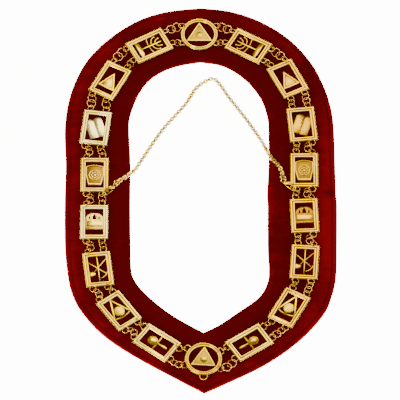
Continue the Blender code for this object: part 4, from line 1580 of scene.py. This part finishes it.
@dataclass
class Goldwork:
    """The moulded plates and medallions with their figures and soldered eyes."""

    layout: Layout
    shop: FigureShop
    palette: "Palette"
    eye_around: int = 36
    eye_section: int = 10
    rim_points: int = 96
    edge_round: float = 0.00022
    edge_angle: float = 18.0
    skirt: float = 0.72
    weld: float = 0.000001
    foot_slack: float = 0.00001
    triangle_reach: float = 1.04
    triangle_border: Share = (0.98, 0.78)
    boss_share: float = 0.24
    button_share: float = 0.13
    steps: tuple[Share, ...] = (
        # inset from the outer edge (shares of the rail), height (share of the rail's height)
        (0.07, 0.90),
        (0.24, 1.00),
        (0.42, 0.97),
        (0.50, 0.66),
        (0.58, 0.66),
        (0.68, 0.90),
        (0.88, 0.92),
        (1.00, 0.66),
    )

    def moulding(self, start: bpy.types.Object, rail: float) -> bpy.types.Object:
        """Raises a flat face into a hollow moulded frame, by steps of inset.

        Args:
            start: A flat face as large as the frame.
            rail: Width of its rails.

        Returns:
            The frame as a closed mesh object.
        """
        height = self.layout.rail_height
        Bench.pick([start])
        bpy.ops.object.mode_set(mode="EDIT")
        bpy.ops.mesh.select_mode(type="FACE")
        bpy.ops.mesh.select_all(action="SELECT")
        inset, level = 0.0, self.skirt
        bpy.ops.mesh.extrude_region_move(TRANSFORM_OT_translate={"value": (0.0, 0.0, height * level)})
        for next_inset, next_level in self.steps:
            width = (next_inset - inset) * rail
            rise = (next_level - level) * height
            bpy.ops.mesh.inset(thickness=width, depth=rise, use_even_offset=True)
            inset, level = next_inset, next_level
        bpy.ops.mesh.extrude_region_move(TRANSFORM_OT_translate={"value": (0.0, 0.0, -level * height)})
        bpy.ops.mesh.delete(type="FACE")
        bpy.ops.object.mode_set(mode="OBJECT")
        self.close_underside(start)
        Bench.pick([start])
        bevel = start.modifiers.new("rounded", "BEVEL")
        bevel.width = self.edge_round
        bevel.segments = 2
        bevel.limit_method = "ANGLE"
        bevel.angle_limit = math.radians(self.edge_angle)
        bpy.ops.object.modifier_apply(modifier=bevel.name)
        return start

    def grounded(self, verts: Iterable[bmesh.types.BMVert]) -> bool:
        """Whether all these points lie at the foot."""
        return all(abs(vert.co.z) < self.foot_slack for vert in verts)

    def close_underside(self, frame: bpy.types.Object) -> None:
        """Bridges the outer foot of a frame to its inner one.

        Args:
            frame: The frame, open underneath.
        """
        Bench.pick([frame])
        bpy.ops.object.mode_set(mode="EDIT")
        bpy.ops.mesh.select_all(action="SELECT")
        bpy.ops.mesh.remove_doubles(threshold=self.weld)
        bpy.ops.mesh.select_all(action="DESELECT")
        edit = bmesh.from_edit_mesh(frame.data)
        flat = [face for face in edit.faces if self.grounded(face.verts)]
        bmesh.ops.delete(edit, geom=flat, context="FACES_ONLY")
        for edge in edit.edges:
            edge.select_set(edge.is_boundary and self.grounded(edge.verts))
        bmesh.update_edit_mesh(frame.data)
        bpy.ops.mesh.bridge_edge_loops()
        bpy.ops.mesh.select_all(action="SELECT")
        bpy.ops.mesh.normals_make_consistent(inside=False)
        bpy.ops.object.mode_set(mode="OBJECT")

    def rectangle(self) -> bpy.types.Object:
        """The frame of a plate, at the origin."""
        Bench.deselect()
        bpy.ops.mesh.primitive_plane_add(size=1.0)
        face = bpy.context.object
        face.scale = (self.layout.plate_width, self.layout.plate_length, 1.0)
        Bench.pick([face])
        bpy.ops.object.transform_apply(location=True, rotation=True, scale=True)
        return self.moulding(face, self.layout.rail_width)

    def rim(self) -> bpy.types.Object:
        """The round rim of a medallion, at the origin."""
        Bench.deselect()
        bpy.ops.mesh.primitive_circle_add(
            vertices=self.rim_points, radius=self.layout.medallion_radius, fill_type="NGON"
        )
        return self.moulding(bpy.context.object, self.layout.rim_width)

    def reliefs(self, shapes: Sequence[Relief]) -> list[bpy.types.Object]:
        """The shapes of a figure as mesh objects."""
        made = []
        for shape in shapes:
            made.append(Bench.stamped(shape.outlines, shape.foot, shape.top, shape.rounding))
        return made

    def eyes(self, rings: Sequence[Ring]) -> list[bpy.types.Object]:
        """Soldered eyes at their places in the part's frame."""
        made = []
        for ring in rings:
            settled = Ring(ring.radius, ring.wire, self.layout.home() @ ring.placement)
            made.append(Bench.torus(settled, self.eye_around, self.eye_section))
        return made

    def plate(self, side: Side, number: int) -> bpy.types.Object:
        """One rectangular plate.

        Args:
            side: The wearer's side.
            number: Its number from the top medallion.

        Returns:
            The piece, which stands for the plate's solid.
        """
        place = PLATES[side][number - 1]
        shapes = self.reliefs(self.shop.shapes(place.figure, side.hand))
        ground, raised = self.palette.figures[side, place.figure]
        Bench.dress(shapes[:1], ground)
        Bench.dress(shapes[1:], raised)
        frame = self.rectangle()
        Bench.dress([frame], self.palette.frames[side, place.figure])
        parts = [frame] + shapes
        placement = self.layout.home() @ self.layout.plate_matrix(place)
        for part in parts:
            Bench.settle(part, placement)
        soldered = []
        for inner in (False, True):
            soldered.append(self.layout.rings(side, number, inner)[-1])
            soldered.append(self.layout.rings(side, number + 1, inner)[0])
        eyes = self.eyes(soldered)
        Bench.dress(eyes, self.palette.eyes)
        node = f"plate_{side.value}_{number}"
        return self.finished(parts + eyes, f"gilt_{node}", node)

    def medallion(self, name: str) -> bpy.types.Object:
        """One round medallion with its triangle.

        Args:
            name: Top or bottom.

        Returns:
            The piece, which stands for the medallion's solid.
        """
        place = MEDALLIONS[name]
        layout = self.layout
        reach = (layout.medallion_radius - layout.rim_width) * self.triangle_reach
        height = self.shop.HEIGHT
        relief = self.shop.RELIEF
        outline = Curves.circle((0.0, 0.0), reach, 3, math.radians(90.0 + place.turn))
        border = [Curves.shrunk(outline, share) for share in self.triangle_border]
        boss = Curves.circle((0.0, 0.0), reach * self.boss_share, 40)
        button = Curves.circle((0.0, 0.0), reach * self.button_share, 32)
        shapes = [
            Relief([outline], height - relief),
            Relief(border, height, 0.0003),
            Relief([boss], height - relief / 3, 0.00025),
            Relief([button], height, 0.0002),
        ]
        raised = self.reliefs(shapes)
        Bench.dress(raised, self.palette.triangles)
        rim = self.rim()
        Bench.dress([rim], self.palette.rims)
        parts = [rim] + raised
        centre = layout.raw(place.across, place.along) + Vector((0.0, 0.0, layout.plate_base))
        for part in parts:
            Bench.settle(part, layout.home() @ Matrix.Translation(centre))
        soldered = []
        for side in Side:
            for inner in (False, True):
                if name == "top":
                    soldered.append(layout.rings(side, 1, inner)[0])
                else:
                    soldered.append(layout.rings(side, len(PLATES[side]) + 1, inner)[-1])
        if name == "bottom":
            soldered.append(self.jewel_ring(centre))
        eyes = self.eyes(soldered)
        Bench.dress(eyes, self.palette.eyes)
        node = f"medallion_{name}"
        return self.finished(parts + eyes, f"gilt_{node}", node)

    def jewel_ring(self, centre: Vector) -> Ring:
        """The ring below the bottom medallion that a jewel hangs on."""
        layout = self.layout
        drop = layout.medallion_radius + layout.jewel_ring_reach
        place = centre + Vector((0.0, -drop, layout.rail_height / 2))
        return Ring(layout.jewel_ring_radius, layout.eye_wire, Matrix.Translation(place))

    def loose(self, side: Side, gap: int, inner: bool) -> bpy.types.Object:
        """The loose jump rings of one chain of a gap.

        Args:
            side: The wearer's side.
            gap: Number of the gap.
            inner: Whether it is the inner chain.

        Returns:
            The piece, which stands for the chain's solid.
        """
        parts = self.eyes(self.layout.rings(side, gap, inner)[1:-1])
        Bench.dress(parts, self.palette.rings)
        place = f"{side.value}_{gap}_{'inner' if inner else 'outer'}"
        return self.finished(parts, f"jump_rings_{place}", f"links_{place}", "rose_gilt")

    def finished(
        self, parts: Sequence[bpy.types.Object], name: str, node: str, slot: str = "gilt"
    ) -> bpy.types.Object:
        """Joins the dressed parts of a piece and hands it to the frame.

        Args:
            parts: Its parts.
            name: Its name.
            node: The solid that it stands for.
            slot: Not used.

        Returns:
            The piece.
        """
        piece = Bench.join(parts, name)
        Bench.smooth(piece)
        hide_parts(node)
        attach(piece, "collar")
        return piece


@dataclass
class SafetyChain:
    """The fine chain across the neck opening, of small oval links."""

    layout: Layout
    route_height: float = 0.0030
    link_length: float = 0.0055
    link_width: float = 0.0046
    link_wire: float = 0.00080
    pitch: float = 0.00320
    roll: float = 34.0
    ends_free: float = 0.0060
    end_rings: tuple[tuple[float, float], ...] = (
        # distance from the chain's end, radius
        (0.0000, 0.0026),
        (0.0040, 0.0029),
    )
    end_ring_wire: float = 0.00065
    end_ring_lean: float = 22.0
    end_ring_segments: tuple[int, int] = (28, 8)
    link_segments: tuple[int, int] = (14, 6)

    def link(self) -> bpy.types.Mesh:
        """The mesh of one oval link, lying along +X."""
        Bench.deselect()
        bpy.ops.mesh.primitive_torus_add(
            major_radius=self.link_width / 2 - self.link_wire / 2,
            minor_radius=self.link_wire,
            major_segments=self.link_segments[0],
            minor_segments=self.link_segments[1],
        )
        item = bpy.context.object
        item.scale = (self.link_length / self.link_width, 1.0, 1.0)
        Bench.pick([item])
        bpy.ops.object.transform_apply(location=True, rotation=True, scale=True)
        mesh = item.data
        bpy.data.objects.remove(item, do_unlink=True)
        return mesh

    @staticmethod
    def along(point: Vector, heading: Vector, lean: float) -> Matrix:
        """Place of a link on the chain's line.

        Args:
            point: Where its middle is.
            heading: Where the line runs to.
            lean: How far it leans over, in degrees.

        Returns:
            The matrix.
        """
        turn = heading.to_track_quat("X", "Z").to_matrix().to_4x4()
        return Matrix.Translation(point) @ turn @ Matrix.Rotation(math.radians(lean), 4, "X")

    def jump_rings(self, line: Sequence[Vector]) -> list[bpy.types.Object]:
        """The two loose rings between the chain and a clasp.

        Args:
            line: The chain's middle line, from that clasp.

        Returns:
            The rings.
        """
        made = []
        finest = Curves.spaced(line, self.link_wire)
        for number, (distance, radius) in enumerate(self.end_rings):
            point, heading = finest[round(distance / self.link_wire)]
            lean = self.end_ring_lean if number else -self.end_ring_lean
            ring = Ring(radius, self.end_ring_wire, self.along(point, heading, lean))
            made.append(Bench.torus(ring, *self.end_ring_segments))
        return made

    def build(self, finish: bpy.types.Material) -> bpy.types.Object:
        """The chain as one piece.

        Args:
            finish: Its gilding.

        Returns:
            The piece, which stands for the chain's plain tube.
        """
        home = self.layout.home()
        knots = []
        for across, along, height in SAFETY_CHAIN_ROUTE:
            rise = Vector((0.0, 0.0, height * self.route_height))
            knots.append(home @ (self.layout.raw(across, along) + rise))
        line = Curves.smoothed(knots, 12)
        stations = Curves.spaced(line, self.pitch)
        skipped = math.ceil(self.ends_free / self.pitch)
        link = self.link()
        parts = self.jump_rings(line) + self.jump_rings(line[::-1])
        lowest = self.link_width / 2
        for number, (point, heading) in enumerate(stations[skipped:-skipped]):
            point.z = max(point.z, lowest)
            roll = self.roll if number % 2 else -self.roll
            copy = bpy.data.objects.new("link", link.copy())
            bpy.context.scene.collection.objects.link(copy)
            copy.matrix_world = self.along(point, heading, roll)
            parts.append(copy)
        Bench.pick(parts)
        bpy.ops.object.transform_apply(location=True, rotation=True, scale=True)
        Bench.dress(parts, finish)
        piece = Bench.join(parts, "fine_safety_chain")
        Bench.smooth(piece)
        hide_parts("safety_chain")
        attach(piece, "collar")
        return piece


@dataclass
class LobsterClasp:
    """A small clasp with a hooked body and a sprung lever."""

    layout: Layout
    side: Side
    length: float = 0.0165
    width: float = 0.0062
    wire: float = 0.00075
    lever_wire: float = 0.0007
    hook_reach: float = 0.94
    steps: int = 6
    line: tuple[tuple[float, float, float], ...] = (
        # along, across (shares of length and width), thickness in wires
        (0.02, 0.02, 1.30),
        (0.12, 0.00, 2.70),
        (0.30, -0.28, 2.75),
        (0.50, -0.42, 2.00),
        (0.70, -0.46, 1.20),
        (0.88, -0.28, 1.00),
        (0.94, 0.00, 1.00),
        (0.89, 0.27, 1.00),
        (0.79, 0.43, 1.00),
        (0.71, 0.47, 0.95),
    )
    pivot: Share = (0.23, 0.36)
    tip: Share = (0.71, 0.47)

    def placement(self) -> Matrix:
        """Place of the clasp in the part's frame, its hook through the plate's inner eye."""
        place = CLASPS[self.side]
        offset = Vector((place.offset_across, place.offset_along, 0.0)) * self.layout.eye_radius
        hook = self.layout.plate_eye(self.side, PLATES[self.side][3], True, False) + offset
        turn = Matrix.Rotation(math.radians(place.heading), 4, "Z")
        tail = hook - turn @ Vector((self.hook_reach * self.length, 0.0, 0.0))
        tail.z = place.rise * self.length
        pitch = Matrix.Rotation(math.radians(place.pitch), 4, "Y")
        roll = Matrix.Rotation(math.radians(place.roll), 4, "X")
        flip = Matrix.Diagonal((1.0, self.side.hand, 1.0, 1.0))
        return self.layout.home() @ Matrix.Translation(tail) @ turn @ pitch @ roll @ flip

    def spot(self, along: float, across: float) -> Vector:
        """A point of the clasp's plane from shares of its length and width."""
        return Vector((along * self.length, across * self.width, 0.0))

    def body(self, finish: bpy.types.Material) -> bpy.types.Object:
        """The hooked body.

        Args:
            finish: Its gilding.

        Returns:
            The piece.
        """
        knots = [self.spot(along, across) for along, across, size in self.line]
        sizes = [Vector((size, 0.0, 0.0)) for along, across, size in self.line]
        points = Curves.smoothed(knots, self.steps)
        radii = [size.x * self.wire for size in Curves.smoothed(sizes, self.steps)]
        hook = Bench.wire(points, radii, 3, self.placement())
        name = self.side.value
        return self.finished(hook, f"gilt_clasp_{name}", f"clasp_body_{name}", "collar", finish)

    def lever(self, finish: bpy.types.Material) -> bpy.types.Object:
        """The straight sprung lever, with its small thumb knob.

        Args:
            finish: Its gilding.

        Returns:
            The piece.
        """
        start = self.spot(*self.pivot)
        end = self.spot(*self.tip)
        end -= (end - start).normalized() * (self.wire * 0.95 + self.layout.gap)
        knots = [start, start.lerp(end, 0.3), end]
        radii = [self.lever_wire * size for size in (1.0, 1.15, 0.85)]
        bar = Bench.wire(knots, radii, 3, self.placement())
        name = self.side.value
        return self.finished(bar, f"gilt_lever_{name}", f"clasp_lever_{name}", f"lever_{name}", finish)

    @staticmethod
    def finished(
        made: bpy.types.Object, name: str, node: str, body: str, finish: bpy.types.Material
    ) -> bpy.types.Object:
        """Dresses a part of the clasp and hands it to the frame.

        Args:
            made: The part.
            name: Its name.
            node: The solid that it stands for.
            body: The body that it moves with.
            finish: Its gilding.

        Returns:
            The piece.
        """
        piece = Bench.join([made], name)
        Bench.dress([piece], finish)
        Bench.smooth(piece)
        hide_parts(node)
        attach(piece, body)
        return piece


@dataclass(frozen=True)
class Lamp:
    """A soft square light that faces the collar."""

    name: str
    place: tuple[float, float, float]
    side: float
    power: float
    colour: Tint

    def hang(self) -> None:
        """Adds it to the scene."""
        data = bpy.data.lights.new(self.name, "AREA")
        data.size = self.side
        data.energy = self.power
        data.color = self.colour
        light = bpy.data.objects.new(self.name, data)
        light.location = self.place
        light.rotation_euler = (-Vector(self.place)).to_track_quat("-Z", "Y").to_euler()
        bpy.context.scene.collection.objects.link(light)


LAMPS = (
    # name, place, side in metres, power in watts, colour
    Lamp("key", (-0.75, -0.85, 0.95), 0.5, 16.0, (1.0, 0.97, 0.92)),
    Lamp("fill", (0.9, -0.4, 1.2), 0.6, 4.0, (1.0, 0.95, 0.88)),
    Lamp("overhead", (0.10, 1.05, 1.55), 0.9, 14.5, (1.0, 0.94, 0.74)),
    Lamp("window", (-1.3, 0.6, 0.9), 0.7, 6.0, (1.0, 0.98, 0.95)),
)


@dataclass
class Studio:
    """The white table, the lights and the camera."""

    layout: Layout
    lens: float = 1500.0
    sensor: float = 36.0
    elevation: float = 57.3
    picture_width: float = 0.448
    aim_height: float = 0.0035
    aim_back: float = -0.0008
    floor_side: float = 6.0
    floor_glow: float = 13.0
    clip: Share = (0.1, 1000.0)
    sky_strength: float = 0.35

    def floor(self) -> None:
        """A large pale floor under the collar."""
        Bench.deselect()
        bpy.ops.mesh.primitive_plane_add(size=self.floor_side, location=(0.0, 0.0, 0.0))
        floor = bpy.context.object
        floor.name = "floor"
        desk = Desk("white_table")
        glow = {"Emission_Color": (1.0, 0.995, 0.98, 1.0), "Emission_Strength": self.floor_glow}
        floor.data.materials.append(desk.coat(Base_Color=(0.93, 0.925, 0.92, 1.0), Roughness=0.85, **glow))

    def camera(self) -> None:
        """A long lens that looks down at the collar from its pointed end."""
        distance = self.picture_width * self.lens / self.sensor
        tilt = math.radians(self.elevation)
        aim = self.layout.home() @ Vector((0.0, self.aim_back, self.aim_height))
        data = bpy.data.cameras.new("camera")
        data.lens = self.lens
        data.sensor_width = self.sensor
        data.clip_start, data.clip_end = self.clip
        camera = bpy.data.objects.new("camera", data)
        camera.location = aim + Vector((0.0, -math.cos(tilt), math.sin(tilt))) * distance
        camera.rotation_euler = (math.pi / 2 - tilt, 0.0, 0.0)
        bpy.context.scene.collection.objects.link(camera)
        bpy.context.scene.camera = camera

    def world(self) -> None:
        """An even pale sky."""
        world = bpy.data.worlds.new("studio")
        world.use_nodes = True
        sky = world.node_tree.nodes["Background"]
        sky.inputs["Color"].default_value = (1.0, 0.99, 0.98, 1.0)
        sky.inputs["Strength"].default_value = self.sky_strength
        bpy.context.scene.world = world

    def build(self) -> None:
        """Sets up the whole studio."""
        self.floor()
        self.world()
        self.camera()
        for lamp in LAMPS:
            lamp.hang()


def report(piece: bpy.types.Object) -> None:
    """Logs a finished piece."""
    LOG.info("%s has %d faces", piece.name, len(piece.data.polygons))


def main() -> None:
    """Builds every piece round the frame."""
    logging.basicConfig(level=logging.INFO)
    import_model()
    layout = Layout()
    Studio(layout).build()
    palette = Palette()

    report(VelvetCollar(layout).build(VelvetFinish().build()))
    goldwork = Goldwork(layout, FigureShop(layout), palette)
    for name in MEDALLIONS:
        report(goldwork.medallion(name))
    for side in Side:
        for number in range(1, len(PLATES[side]) + 1):
            report(goldwork.plate(side, number))
        for gap in range(1, len(PLATES[side]) + 2):
            for inner in (False, True):
                report(goldwork.loose(side, gap, inner))
        clasp = LobsterClasp(layout, side)
        report(clasp.body(palette.clasps))
        report(clasp.lever(palette.clasps))
    report(SafetyChain(layout).build(palette.chain))


if __name__ == "__main__":
    main()
